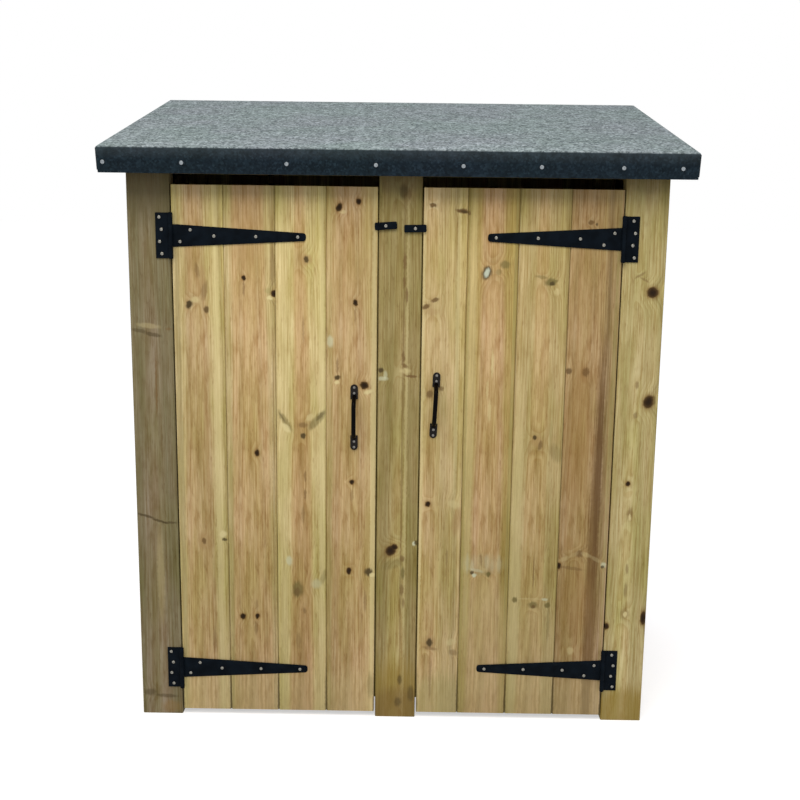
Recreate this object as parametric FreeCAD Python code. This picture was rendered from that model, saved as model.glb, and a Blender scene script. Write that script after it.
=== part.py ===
import FreeCAD, Part
import math
import os

# A garden tool store in pressure-treated pine. Three front posts carry two flush ledged doors on tee hinges,
# the sides and back are boarded, the floor lies on bearers, and a felted roof falls towards the doors.
# +Z is up and the doors face -Y. The origin is on the ground under the middle of the roof.
# Lengths are in millimetres and angles in degrees.

# Carcass
STORE_WIDTH = 1190.0
CENTRE_POST_SHIFT = 8.0
POST_WIDTH = 95.0
POST_THICK = 45.0
POST_ARRIS = 2.5
STORE_DEPTH = 670.0
GROUND_CLEARANCE = 13.0
SIDE_SETBACK = 3.0
RAIL = 45.0
FRONT_RAIL_DEPTH = 62.0
MIDDLE_RAIL_HEIGHT = 640.0

# Tongue-and-groove boards
BOARD_COVER = 113.7
BOARD_THICK = 16.0
BOARD_MIN_RIP = 30.0
JOINT_GAP = 0.4
JOINT_V = 2.6
TONGUE_THICK = 5.0
TONGUE_DEPTH = 6.0
TONGUE_CLEARANCE = 0.3

# Doors
DOOR_HEIGHT = 1234.0
DOOR_GAP = 3.0
VENT_GAP = 23.0
LEDGE_WIDTH = 70.0
LEDGE_THICK = 20.0
LEDGE_CLEARANCE = 8.0
BRACE_CUT = 82.0
STOP_WIDTH = 18.0
STOP_CLEARANCE = 0.5
STOP_END_GAP = 30.0

# Roof
ROOF_SLOPE = 11.0
FRONT_OVERHANG = 60.0
REAR_OVERHANG = 50.0
SIDE_OVERHANG = 49.0
FELT_THICK = 3.0
DECK_THICK = 11.0
BATTEN_HEIGHT = 43.0
BATTEN_THICK = 20.0

# Clout nails in the felt's folded edge. The front row was nailed by eye, so each nail strays from even spacing.
NAIL_HEAD = 9.0
NAIL_HEAD_THICK = 1.2
NAIL_SHANK = 3.0
NAIL_LENGTH = 18.0
NAIL_INSET = 22.0
NAIL_DROP = 34.0
FRONT_NAIL_STRAY = (-8.0, -17.0, 30.0, 43.0, 52.0, 41.0, 38.0, -14.0)
REAR_NAILS = 8
SIDE_NAILS = 5

# Tee hinges. A right-hand hinge is the same hinge turned half round.
LEFT_UPPER_HINGE_DROP = 111.0
RIGHT_UPPER_HINGE_DROP = 107.0
LEFT_LOWER_HINGE_RISE = 106.0
RIGHT_LOWER_HINGE_RISE = 114.0
LEAF_THICK = 2.0
BARREL = 10.0
BARREL_LIFT = 0.4
PIN = 5.0
PIN_CLEARANCE = 0.05
PIN_HEAD = 7.5
PIN_HEAD_THICK = 1.0
KNUCKLE_CLEARANCE = 0.3
PLATE_WIDTH = 34.0
PLATE_HEIGHT = 100.0
PLATE_SCREW_EDGE = 9.0
PLATE_SCREW_ZIGZAG = 4.5
PLATE_SCREW_END = 10.0
STRAP_LENGTH = 298.0
STRAP_ROOT = 50.0
STRAP_TIP = 17.0
STRAP_TIP_CHAMFER = 3.0
STRAP_PAIR_NEAR = 20.0
STRAP_PAIR_FAR = 43.0
STRAP_PAIR_OFFSET = 13.0
STRAP_ROW_START = 95.0
STRAP_ROW_END_INSET = 18.0

# Screws
HINGE_SCREW_HEAD = 8.0
HINGE_SCREW_HEAD_HEIGHT = 2.2
HINGE_SCREW_SHANK = 4.0
HINGE_SCREW_LENGTH = 26.0
HANDLE_SCREW_HEAD = 6.4
HANDLE_SCREW_HEAD_HEIGHT = 1.4
HANDLE_SCREW_SHANK = 3.0
HANDLE_SCREW_LENGTH = 14.0
HEAD_RIM = 0.4
PILOT_CLEARANCE = 0.1

# Turn buttons on the centre post
BUTTON_INSET = 15.0
BUTTON_SPACING = 16.0
BUTTON_WIDTH = 16.5
BUTTON_THICK = 3.0
BUTTON_CORNER = 2.5
BUTTON_PLAY = 0.15
LEFT_BUTTON_DROP = 84.0
RIGHT_BUTTON_DROP = 89.0
LEFT_BUTTON_TILT = 4.0
RIGHT_BUTTON_TILT = 1.5
WASHER = 12.0
WASHER_THICK = 1.0

# Pull handles
HANDLE_LENGTH = 152.0
HANDLE_REACH = 36.0
HANDLE_GRIP = 10.0
HANDLE_BEND = 15.0
HANDLE_LEG_LEAN = 13.0
HANDLE_FOOT_INSET = 6.0
PAD_LENGTH = 34.0
PAD_WIDTH = 17.0
PAD_THICK = 2.5
PAD_SCREW_END = 7.0
PAD_SCREW_PITCH = 13.0
LEFT_HANDLE_INSET = 50.0
RIGHT_HANDLE_INSET = 32.0
LEFT_HANDLE_RISE = 719.0
RIGHT_HANDLE_RISE = 749.0
LEFT_HANDLE_TILT = 0.0
RIGHT_HANDLE_TILT = 2.5

# Directions
Vector = FreeCAD.Vector
X = Vector(1, 0, 0)
Y = Vector(0, 1, 0)
Z = Vector(0, 0, 1)
ORIGIN = Vector(0, 0, 0)

# Places that several pieces share
SLOPE_SIN = math.sin(math.radians(ROOF_SLOPE))
SLOPE_COS = math.cos(math.radians(ROOF_SLOPE))
SLOPE_TAN = math.tan(math.radians(ROOF_SLOPE))
POST_OUTER = STORE_WIDTH / 2
LEFT_REVEAL = -POST_OUTER + POST_WIDTH
RIGHT_REVEAL = POST_OUTER - POST_WIDTH
CENTRE_X = CENTRE_POST_SHIFT
CENTRE_LEFT = CENTRE_X - POST_WIDTH / 2
CENTRE_RIGHT = CENTRE_X + POST_WIDTH / 2
LEFT_OPENING = CENTRE_LEFT - LEFT_REVEAL
RIGHT_OPENING = RIGHT_REVEAL - CENTRE_RIGHT
WALL_OUTER = POST_OUTER - SIDE_SETBACK
WALL_INNER = WALL_OUTER - BOARD_THICK
ROOF_PLAN_DEPTH = FRONT_OVERHANG + STORE_DEPTH + REAR_OVERHANG
FRONT_Y = FRONT_OVERHANG - ROOF_PLAN_DEPTH / 2
BEHIND_POSTS_Y = FRONT_Y + POST_THICK
BACK_Y = FRONT_Y + STORE_DEPTH
BACK_INNER_Y = BACK_Y - BOARD_THICK
DOOR_BOTTOM = GROUND_CLEARANCE
DOOR_TOP = DOOR_BOTTOM + DOOR_HEIGHT
DOOR_BACK_Y = FRONT_Y + BOARD_THICK
FLOOR_TOP = RAIL + BOARD_THICK
ROOF_THICK = FELT_THICK + DECK_THICK + BATTEN_HEIGHT
ROOF_FRONT_HEIGHT = DOOR_TOP + VENT_GAP + ROOF_THICK * SLOPE_COS
ROOF_LENGTH = (ROOF_PLAN_DEPTH - ROOF_THICK * SLOPE_SIN) / SLOPE_COS
ROOF_HALF_WIDTH = POST_OUTER + SIDE_OVERHANG
ROOF_FRONT_EDGE = Vector(0, -ROOF_PLAN_DEPTH / 2, ROOF_FRONT_HEIGHT)
ROOF_PLACE = FreeCAD.Placement(ROOF_FRONT_EDGE, FreeCAD.Rotation(X, ROOF_SLOPE))
AXIS_LIFT = BARREL / 2 + BARREL_LIFT
LEFT_AXIS_X = LEFT_REVEAL + DOOR_GAP / 2
RIGHT_AXIS_X = RIGHT_REVEAL - DOOR_GAP / 2
HINGE_SCREW = (HINGE_SCREW_HEAD, HINGE_SCREW_HEAD_HEIGHT, HINGE_SCREW_SHANK, HINGE_SCREW_LENGTH)
HANDLE_SCREW = (HANDLE_SCREW_HEAD, HANDLE_SCREW_HEAD_HEIGHT, HANDLE_SCREW_SHANK, HANDLE_SCREW_LENGTH)
NAIL = (NAIL_HEAD, NAIL_HEAD_THICK, NAIL_SHANK, NAIL_LENGTH)

nodes = {}


def block(x, y, z):
    """A rectangular block between two limits along each axis."""
    return Part.makeBox(x[1] - x[0], y[1] - y[0], z[1] - z[0], Vector(x[0], y[0], z[0]))


def prism(points, along):
    """A closed outline of straight edges, pushed along a vector."""
    return Part.Face(Part.makePolygon(points + points[:1])).extrude(along)


def spun(edges, place):
    """A half outline of edges in the X-Z plane turned about Z, then placed."""
    face = Part.Face(Part.Wire(edges))
    return face.revolve(ORIGIN, Z, 360).transformed(place.toMatrix(), True)


def lines(points):
    """Straight edges through radius and depth points."""
    corners = [Vector(radius, 0, depth) for radius, depth in points]
    return [Part.LineSegment(a, b).toShape() for a, b in zip(corners, corners[1:])]


def aimed(point, direction):
    """The placement that sets depth zero at a point and runs depth along a direction."""
    return FreeCAD.Placement(point, FreeCAD.Rotation(Z, direction))


def screw(point, direction, size):
    """A dome-head screw or nail whose head sits at the point and whose shank runs along the direction."""
    head, head_height, shank, length = size
    rise = head_height - HEAD_RIM
    dome = ((head / 2) ** 2 + rise ** 2) / (2 * rise)
    half_way = math.asin(head / 2 / dome) / 2
    crown = Vector(0, 0, -head_height)
    shoulder = Vector(dome * math.sin(half_way), 0, dome - head_height - dome * math.cos(half_way))
    rim = Vector(head / 2, 0, -HEAD_RIM)
    edges = [Part.Arc(crown, shoulder, rim).toShape()]
    edges += lines([(head / 2, -HEAD_RIM), (head / 2, 0), (shank / 2, 0), (shank / 2, length - shank)])
    edges += lines([(shank / 2, length - shank), (0, length), (0, -head_height)])
    return spun(edges, aimed(point, direction))


def pilot(point, direction, size):
    """The hole that a screw's or nail's shank leaves in what it is driven into."""
    head, head_height, shank, length = size
    return Part.makeCylinder(shank / 2 + PILOT_CLEARANCE, length + PILOT_CLEARANCE, point, direction)


def drilled(shape, holes):
    """A shape with its holes cut."""
    return shape.cut(Part.Compound(holes)) if holes else shape


def under_deck(y):
    """Height of the deck's underside at a place from front to back."""
    below = FELT_THICK + DECK_THICK
    start = ROOF_FRONT_EDGE + Vector(0, below * SLOPE_SIN, -below * SLOPE_COS)
    return start.z + (y - start.y) * SLOPE_TAN


def under_roof(x, y, bottom):
    """An upright block whose top is cut to the roof's slope."""
    outline = [
        Vector(x[0], y[0], bottom),
        Vector(x[0], y[1], bottom),
        Vector(x[0], y[1], under_deck(y[1])),
        Vector(x[0], y[0], under_deck(y[0])),
    ]
    return prism(outline, X * (x[1] - x[0]))


def sloped_rail(x, y):
    """A rail that lies under the deck along its slope."""
    drop = RAIL / SLOPE_COS
    outline = [
        Vector(x[0], y[0], under_deck(y[0]) - drop),
        Vector(x[0], y[1], under_deck(y[1]) - drop),
        Vector(x[0], y[1], under_deck(y[1])),
        Vector(x[0], y[0], under_deck(y[0])),
    ]
    return prism(outline, X * (x[1] - x[0]))


def roof_block(x, u, w):
    """A block of the roof panel: u runs up the slope from the front edge, w is height above the felt's top."""
    return block(x, u, w).transformed(ROOF_PLACE.toMatrix(), True)


def board(start, across, inward, along, cover, length, groove, tongue):
    """One board with V joints on its face, a groove on the edge where it starts and a tongue where it ends."""
    width = cover - JOINT_GAP if tongue else cover
    low = (BOARD_THICK - TONGUE_THICK) / 2
    high = (BOARD_THICK + TONGUE_THICK) / 2
    outline = [(JOINT_V if groove else 0, 0)]
    if tongue:
        outline += [(width - JOINT_V, 0), (width, JOINT_V), (width, low), (width + TONGUE_DEPTH, low)]
        outline += [(width + TONGUE_DEPTH, high), (width, high), (width, BOARD_THICK)]
    else:
        outline += [(width, 0), (width, BOARD_THICK)]
    outline += [(0, BOARD_THICK)]
    if groove:
        wide = TONGUE_CLEARANCE
        outline += [(0, high + wide), (TONGUE_DEPTH, high + wide), (TONGUE_DEPTH, low - wide), (0, low - wide)]
        outline += [(0, JOINT_V)]
    points = [start + across * a + inward * b for a, b in outline]
    return prism(points, along * length)


def boarding(start, across, inward, along, covers, length):
    """A row of boards joined edge to edge, with square outer edges."""
    boards = []
    offset = 0.0
    for index, cover in enumerate(covers):
        first = index == 0
        last = index == len(covers) - 1
        boards.append(board(start + across * offset, across, inward, along, cover, length, not first, not last))
        offset += cover
    return boards


def even_covers(width):
    """Equal covers, none wider than the stock, that fill a width."""
    count = math.ceil(width / BOARD_COVER)
    return [width / count] * count


def ripped_covers(width):
    """Full covers with the last board ripped to fit, shared with its neighbour where it would be a sliver."""
    count = math.ceil(width / BOARD_COVER)
    covers = [BOARD_COVER] * (count - 1)
    rest = width - sum(covers)
    if rest < BOARD_MIN_RIP and covers:
        rest = (covers.pop() + rest) / 2
        covers.append(rest)
    return covers + [rest]


# Tee hinge in its own place: the pin stands along Z, the strap runs along +X and the wood's face is at y = 0
def hinge_plate_screws():
    far = -PLATE_WIDTH + PLATE_SCREW_EDGE
    pitch = (PLATE_HEIGHT - 2 * PLATE_SCREW_END) / 3
    top = PLATE_HEIGHT / 2 - PLATE_SCREW_END
    return [Vector(far + PLATE_SCREW_ZIGZAG * (i % 2), -LEAF_THICK, top - pitch * i) for i in range(4)]


def hinge_strap_screws():
    pair = [(STRAP_PAIR_NEAR, -STRAP_PAIR_OFFSET), (STRAP_PAIR_FAR, STRAP_PAIR_OFFSET)]
    last = STRAP_LENGTH - STRAP_ROW_END_INSET
    row = [(x, 0.0) for x in (STRAP_ROW_START, (STRAP_ROW_START + last) / 2, last)]
    return [Vector(x, -LEAF_THICK, z) for x, z in pair + row]


def knuckle(low, high):
    return Part.makeCylinder(BARREL / 2, high - low, Vector(0, -AXIS_LIFT, low))


def pin_bore(low, high):
    return Part.makeCylinder(PIN / 2 + PIN_CLEARANCE, high - low, Vector(0, -AXIS_LIFT, low))


def screw_holes(points):
    return [pilot(point, Y, HINGE_SCREW) for point in points]


def hinge_plate():
    """The post's leaf, with a knuckle above and below the strap's."""
    end = PLATE_HEIGHT / 2
    notch = STRAP_ROOT / 2 + KNUCKLE_CLEARANCE
    leaf = block((-PLATE_WIDTH, 0), (-LEAF_THICK, 0), (-end, end))
    leaf = leaf.cut(block((-AXIS_LIFT - BARREL_LIFT, BARREL), (-BARREL, BARREL), (-notch, notch)))
    leaf = leaf.fuse([knuckle(notch, end), knuckle(-end, -notch)])
    return drilled(leaf, [pin_bore(-end, end)] + screw_holes(hinge_plate_screws())).removeSplitter()


def hinge_strap():
    """The door's leaf: a long taper with clipped corners at its tip, rolled round the pin at its root."""
    root = STRAP_ROOT / 2
    tip = STRAP_TIP / 2
    clip = STRAP_TIP_CHAMFER
    upper = [(0, root), (STRAP_LENGTH - clip, tip), (STRAP_LENGTH, tip - clip)]
    outline = upper + [(x, -z) for x, z in reversed(upper)]
    leaf = prism([Vector(x, -LEAF_THICK, z) for x, z in outline], Y * LEAF_THICK)
    leaf = leaf.fuse(knuckle(-root, root))
    return drilled(leaf, [pin_bore(-root, root)] + screw_holes(hinge_strap_screws())).removeSplitter()


def hinge_pin():
    """A plain pin, riveted over at both ends of the plate's knuckles."""
    seat = PLATE_HEIGHT / 2
    end = seat + PIN_HEAD_THICK
    upper = [(PIN / 2, seat), (PIN_HEAD / 2, seat), (PIN_HEAD / 2, end), (0, end)]
    lower = [(radius, -depth) for radius, depth in reversed(upper)]
    return spun(lines(lower + upper + lower[:1]), aimed(Vector(0, -AXIS_LIFT, 0), Z))


def hinge_place(axis_x, height, half_turn):
    return FreeCAD.Placement(Vector(axis_x, FRONT_Y, height), FreeCAD.Rotation(Y, 180 if half_turn else 0))


# Pull handle in its own place: it stands along Z with its pads on y = 0
def handle_screws():
    outer = HANDLE_LENGTH / 2 - PAD_SCREW_END
    heights = (outer, outer - PAD_SCREW_PITCH, PAD_SCREW_PITCH - outer, -outer)
    return [Vector(0, -PAD_THICK, z) for z in heights]


def handle_pad(end):
    """A flat foot with a round end, above the grip for end = 1 and below it for end = -1."""
    radius = PAD_WIDTH / 2
    centre = HANDLE_LENGTH / 2 - radius
    inner = HANDLE_LENGTH / 2 - PAD_LENGTH
    low, high = sorted((end * inner, end * centre))
    plate = block((-radius, radius), (-PAD_THICK, 0), (low, high))
    return plate.fuse(Part.makeCylinder(radius, PAD_THICK, Vector(0, 0, end * centre), -Y))


def handle_bow():
    """The round grip, bent out from one pad and back to the other."""
    foot = HANDLE_LENGTH / 2 - PAD_LENGTH + HANDLE_FOOT_INSET
    bend = foot - HANDLE_LEG_LEAN
    out = HANDLE_REACH - HANDLE_GRIP / 2
    leg = Vector(0, out, HANDLE_LEG_LEAN)
    leg.normalize()
    turn = math.pi / 2 - math.atan2(HANDLE_LEG_LEAN, out)
    tangent = HANDLE_BEND * math.tan(turn / 2)
    corner = Vector(0, -out, bend)
    on_leg = corner + leg * tangent
    on_grip = corner - Z * tangent
    toward_centre = (on_leg - corner).normalize() + (on_grip - corner).normalize()
    middle = corner + toward_centre.normalize() * (HANDLE_BEND / math.cos(turn / 2) - HANDLE_BEND)
    start = Vector(0, 0, foot) + leg * HANDLE_GRIP

    def lower(point):
        return Vector(point.x, point.y, -point.z)

    edges = [
        Part.LineSegment(start, on_leg).toShape(),
        Part.Arc(on_leg, middle, on_grip).toShape(),
        Part.LineSegment(on_grip, lower(on_grip)).toShape(),
        Part.Arc(lower(on_grip), lower(middle), lower(on_leg)).toShape(),
        Part.LineSegment(lower(on_leg), lower(start)).toShape(),
    ]
    ring = Part.Wire(Part.makeCircle(HANDLE_GRIP / 2, start, leg))
    bow = Part.Wire(edges).makePipeShell([ring], True, True)
    wood = HANDLE_LENGTH
    return bow.cut(block((-wood, wood), (0, wood), (-wood, wood)))


def handle():
    body = handle_bow().fuse([handle_pad(1), handle_pad(-1)])
    holes = [pilot(point, Y, HANDLE_SCREW) for point in handle_screws()]
    return drilled(body, holes).removeSplitter()


def post(x):
    """A front post with its long edges eased, cut to the roof's slope at its head."""
    a = POST_ARRIS
    corners = [(x[0] + a, 0), (x[1] - a, 0), (x[1], a), (x[1], POST_THICK - a)]
    corners += [(x[1] - a, POST_THICK), (x[0] + a, POST_THICK), (x[0], POST_THICK - a), (x[0], a)]
    shaft = prism([Vector(px, FRONT_Y + py, 0) for px, py in corners], Z * under_deck(BEHIND_POSTS_Y))
    return shaft.common(under_roof(x, (FRONT_Y, BEHIND_POSTS_Y), 0))


def mapped(points, place):
    return [place.multVec(point) for point in points]


def on_face(shape, place):
    return shape.transformed(place.toMatrix(), True)


# Hinges at their places on the doors
hinges = {
    "left_upper": hinge_place(LEFT_AXIS_X, DOOR_TOP - LEFT_UPPER_HINGE_DROP, False),
    "left_lower": hinge_place(LEFT_AXIS_X, DOOR_BOTTOM + LEFT_LOWER_HINGE_RISE, False),
    "right_upper": hinge_place(RIGHT_AXIS_X, DOOR_TOP - RIGHT_UPPER_HINGE_DROP, True),
    "right_lower": hinge_place(RIGHT_AXIS_X, DOOR_BOTTOM + RIGHT_LOWER_HINGE_RISE, True),
}
hinge_pins = []
plate_screws = []
plate_holes = {"left": [], "right": []}
strap_screws = {"left": [], "right": []}
strap_holes = {"left": [], "right": []}
for name, place in hinges.items():
    side = name.split("_")[0]
    nodes[name + "_hinge_plate"] = on_face(hinge_plate(), place)
    nodes[name + "_hinge_strap"] = on_face(hinge_strap(), place)
    hinge_pins.append(on_face(hinge_pin(), place))
    for point in mapped(hinge_plate_screws(), place):
        plate_screws.append(screw(point, Y, HINGE_SCREW))
        plate_holes[side].append(pilot(point, Y, HINGE_SCREW))
    for point in mapped(hinge_strap_screws(), place):
        strap_screws[side].append(screw(point, Y, HINGE_SCREW))
        strap_holes[side].append(pilot(point, Y, HINGE_SCREW))
nodes["hinge_pins"] = Part.Compound(hinge_pins)
nodes["hinge_plate_screws"] = Part.Compound(plate_screws)

# Turn buttons: a flat bar that turns on one screw, held off the post by a washer
button_length = POST_WIDTH - 2 * BUTTON_INSET - BUTTON_SPACING
button_back = WASHER_THICK + BUTTON_PLAY
button_front = button_back + BUTTON_THICK
buttons = {
    "left": (CENTRE_LEFT + BUTTON_INSET, DOOR_TOP - LEFT_BUTTON_DROP, LEFT_BUTTON_TILT),
    "right": (CENTRE_RIGHT - BUTTON_INSET, DOOR_TOP - RIGHT_BUTTON_DROP, RIGHT_BUTTON_TILT),
}
button_screws = []
button_washers = []
button_holes = []
for side, (x, z, tilt) in buttons.items():
    half = button_length / 2
    edge = BUTTON_WIDTH / 2
    cut = BUTTON_CORNER
    outline = [(half, edge - cut), (half - cut, edge), (cut - half, edge), (-half, edge - cut)]
    outline += [(-px, -pz) for px, pz in outline]
    bar = prism([Vector(px, -button_front, pz) for px, pz in outline], Y * BUTTON_THICK)
    bore = HINGE_SCREW_SHANK / 2 + PIN_CLEARANCE
    bar = bar.cut(Part.makeCylinder(bore, BUTTON_THICK, Vector(0, -button_front, 0), Y))
    button_place = FreeCAD.Placement(Vector(x, FRONT_Y, z), FreeCAD.Rotation(Y, -tilt))
    nodes[side + "_turn_button"] = on_face(bar, button_place)
    seat = Vector(x, FRONT_Y - button_front - BUTTON_PLAY, z)
    button_screws.append(screw(seat, Y, HINGE_SCREW))
    button_holes.append(pilot(seat, Y, HINGE_SCREW))
    ring = Part.makeCylinder(WASHER / 2, WASHER_THICK, Vector(x, FRONT_Y, z), -Y)
    button_washers.append(ring.cut(button_holes[-1]))
nodes["turn_button_screws"] = Part.Compound(button_screws)
nodes["turn_button_washers"] = Part.Compound(button_washers)

# Front posts
nodes["left_front_post"] = drilled(post((-POST_OUTER, LEFT_REVEAL)), plate_holes["left"])
nodes["centre_front_post"] = drilled(post((CENTRE_LEFT, CENTRE_RIGHT)), button_holes)
nodes["right_front_post"] = drilled(post((RIGHT_REVEAL, POST_OUTER)), plate_holes["right"])

# Doors, each boarded from its hinge edge, with ledges and braces on the inside
doors = {
    "left": (LEFT_REVEAL + DOOR_GAP, 1, LEFT_OPENING, LEFT_LOWER_HINGE_RISE, LEFT_UPPER_HINGE_DROP,
             LEFT_HANDLE_INSET, LEFT_HANDLE_RISE, LEFT_HANDLE_TILT),
    "right": (RIGHT_REVEAL - DOOR_GAP, -1, RIGHT_OPENING, RIGHT_LOWER_HINGE_RISE, RIGHT_UPPER_HINGE_DROP,
              RIGHT_HANDLE_INSET, RIGHT_HANDLE_RISE, RIGHT_HANDLE_TILT),
}
for side, (hinge_edge, sign, opening, lower_rise, upper_drop, *pull) in doors.items():
    handle_inset, handle_rise, tilt = pull
    width = opening - 2 * DOOR_GAP
    across = X * sign
    pull_x = hinge_edge + sign * (width - handle_inset)
    pull_middle = Vector(pull_x, FRONT_Y, DOOR_BOTTOM + handle_rise)
    pull_place = FreeCAD.Placement(pull_middle, FreeCAD.Rotation(Y, tilt))
    pull_points = mapped(handle_screws(), pull_place)
    pull_holes = [pilot(point, Y, HANDLE_SCREW) for point in pull_points]
    nodes[side + "_handle"] = on_face(handle(), pull_place)
    nodes[side + "_handle_screws"] = Part.Compound([screw(point, Y, HANDLE_SCREW) for point in pull_points])
    nodes[side + "_hinge_strap_screws"] = Part.Compound(strap_screws[side])

    start = Vector(hinge_edge, FRONT_Y, DOOR_BOTTOM)
    boards = boarding(start, across, Y, Z, ripped_covers(width), DOOR_HEIGHT)
    for number, plank in enumerate(boards, 1):
        nodes["%s_door_board_%d" % (side, number)] = drilled(plank, strap_holes[side] + pull_holes)

    inset = STOP_WIDTH + LEDGE_CLEARANCE
    ledge_x = sorted((hinge_edge + sign * inset, hinge_edge + sign * (width - inset)))
    ledge_y = (DOOR_BACK_Y, DOOR_BACK_Y + LEDGE_THICK)
    low = DOOR_BOTTOM + lower_rise
    high = DOOR_TOP - upper_drop
    half = LEDGE_WIDTH / 2
    heights = (low, (low + high) / 2, high)
    ledges = [block(ledge_x, ledge_y, (z - half, z + half)) for z in heights]
    nodes[side + "_door_ledges"] = Part.Compound([drilled(ledge, strap_holes[side]) for ledge in ledges])

    braces = []
    near = hinge_edge + sign * inset
    far = hinge_edge + sign * (width - inset)
    for bottom, top in zip(heights, heights[1:]):
        foot = Vector(near, DOOR_BACK_Y, bottom + half)
        head = Vector(far, DOOR_BACK_Y, top - half)
        outline = [foot, foot + across * BRACE_CUT, head, head - across * BRACE_CUT]
        braces.append(prism(outline, Y * LEDGE_THICK))
    nodes[side + "_door_braces"] = Part.Compound(braces)

# Door stops on both sides of the centre post, just behind the doors
stop_y = (DOOR_BACK_Y + STOP_CLEARANCE, DOOR_BACK_Y + STOP_CLEARANCE + STOP_WIDTH)
stop_z = (DOOR_BOTTOM + STOP_END_GAP, DOOR_TOP - STOP_END_GAP)
nodes["door_stops"] = Part.Compound([
    block((CENTRE_LEFT - STOP_WIDTH, CENTRE_LEFT), stop_y, stop_z),
    block((CENTRE_RIGHT, CENTRE_RIGHT + STOP_WIDTH), stop_y, stop_z)])

# Floor: three bearers on the ground, boards across them
bearer_y = (BEHIND_POSTS_Y, BACK_INNER_Y)
bearers = {
    "left": (-WALL_INNER, -WALL_INNER + RAIL),
    "centre": (CENTRE_X - RAIL / 2, CENTRE_X + RAIL / 2),
    "right": (WALL_INNER - RAIL, WALL_INNER),
}
for side, x in bearers.items():
    nodes[side + "_floor_bearer"] = block(x, bearer_y, (0, RAIL))
floor_start = Vector(-WALL_INNER, BEHIND_POSTS_Y, FLOOR_TOP)
floor_covers = even_covers(BACK_INNER_Y - BEHIND_POSTS_Y)
nodes["floor_boards"] = Part.Compound(boarding(floor_start, Y, -Z, X, floor_covers, 2 * WALL_INNER))

# Rear posts and the rails that carry the boards and the roof
rear_y = (BACK_INNER_Y - RAIL, BACK_INNER_Y)
front_rail_y = (BEHIND_POSTS_Y, BEHIND_POSTS_Y + RAIL)
between_y = (front_rail_y[1], rear_y[0])
between_rear_posts = (-WALL_INNER + RAIL, WALL_INNER - RAIL)
middle_z = (MIDDLE_RAIL_HEIGHT, MIDDLE_RAIL_HEIGHT + RAIL)
for side, x in (("left", bearers["left"]), ("right", bearers["right"])):
    nodes[side + "_rear_post"] = under_roof(x, rear_y, FLOOR_TOP)
    nodes[side + "_top_rail"] = sloped_rail(x, between_y)
    nodes[side + "_middle_rail"] = block(x, (BEHIND_POSTS_Y, rear_y[0]), middle_z)
front_rail_bottom = under_deck(front_rail_y[0]) - FRONT_RAIL_DEPTH
nodes["front_top_rail"] = under_roof((-WALL_INNER, WALL_INNER), front_rail_y, front_rail_bottom)
nodes["rear_top_rail"] = under_roof(between_rear_posts, rear_y, under_deck(rear_y[0]) - RAIL)
nodes["rear_middle_rail"] = block(between_rear_posts, rear_y, middle_z)
nodes["centre_rafter"] = sloped_rail(bearers["centre"], between_y)

# Side and back boards
wall_top = under_deck(BACK_Y)
wall_height = wall_top - GROUND_CLEARANCE
side_covers = even_covers(BACK_Y - BEHIND_POSTS_Y)
for side, sign in (("left", -1), ("right", 1)):
    start = Vector(sign * WALL_OUTER, BEHIND_POSTS_Y, GROUND_CLEARANCE)
    walls = sorted((sign * WALL_INNER, sign * WALL_OUTER))
    below_deck = under_roof(walls, (BEHIND_POSTS_Y, BACK_Y), 0)
    boards = boarding(start, Y, X * -sign, Z, side_covers, wall_height)
    nodes[side + "_side_boards"] = Part.Compound([plank.common(below_deck) for plank in boards])
back_start = Vector(-WALL_INNER, BACK_Y, GROUND_CLEARANCE)
below_deck = under_roof((-WALL_INNER, WALL_INNER), (BACK_INNER_Y, BACK_Y), 0)
boards = boarding(back_start, X, -Y, Z, even_covers(2 * WALL_INNER), wall_height)
nodes["back_boards"] = Part.Compound([plank.common(below_deck) for plank in boards])

# Clout nails round the roof's edges, as places in the roof panel with the way each is driven
first_nail = ROOF_HALF_WIDTH - NAIL_INSET
front_pitch = 2 * first_nail / (len(FRONT_NAIL_STRAY) - 1)
rear_pitch = 2 * first_nail / (REAR_NAILS - 1)
side_pitch = (ROOF_LENGTH - 2 * NAIL_INSET) / (SIDE_NAILS - 1)
nails = []
for i, stray in enumerate(FRONT_NAIL_STRAY):
    nails.append((Vector(i * front_pitch - first_nail + stray, 0, -NAIL_DROP), Y))
for i in range(REAR_NAILS):
    nails.append((Vector(i * rear_pitch - first_nail, ROOF_LENGTH, -NAIL_DROP), -Y))
for i in range(SIDE_NAILS):
    up_slope = NAIL_INSET + i * side_pitch
    nails.append((Vector(-ROOF_HALF_WIDTH, up_slope, -NAIL_DROP), X))
    nails.append((Vector(ROOF_HALF_WIDTH, up_slope, -NAIL_DROP), -X))
nail_holes = [on_face(pilot(point, way, NAIL), ROOF_PLACE) for point, way in nails]
nodes["felt_nails"] = Part.Compound([on_face(screw(point, way, NAIL), ROOF_PLACE) for point, way in nails])

# Roof panel: a deck with battens under its four edges, and felt over the top and down the edges
deck_x = (FELT_THICK - ROOF_HALF_WIDTH, ROOF_HALF_WIDTH - FELT_THICK)
deck_u = (FELT_THICK, ROOF_LENGTH - FELT_THICK)
deck_w = (-FELT_THICK - DECK_THICK, -FELT_THICK)
batten_w = (-ROOF_THICK, deck_w[0])
inner_u = (deck_u[0] + BATTEN_THICK, deck_u[1] - BATTEN_THICK)
nodes["roof_deck"] = roof_block(deck_x, deck_u, deck_w)
battens = {
    "front": (deck_x, (deck_u[0], inner_u[0])),
    "rear": (deck_x, (inner_u[1], deck_u[1])),
    "left": ((deck_x[0], deck_x[0] + BATTEN_THICK), inner_u),
    "right": ((deck_x[1] - BATTEN_THICK, deck_x[1]), inner_u),
}
for side, (x, u) in battens.items():
    nodes[side + "_roof_batten"] = drilled(roof_block(x, u, batten_w), nail_holes)
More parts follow.
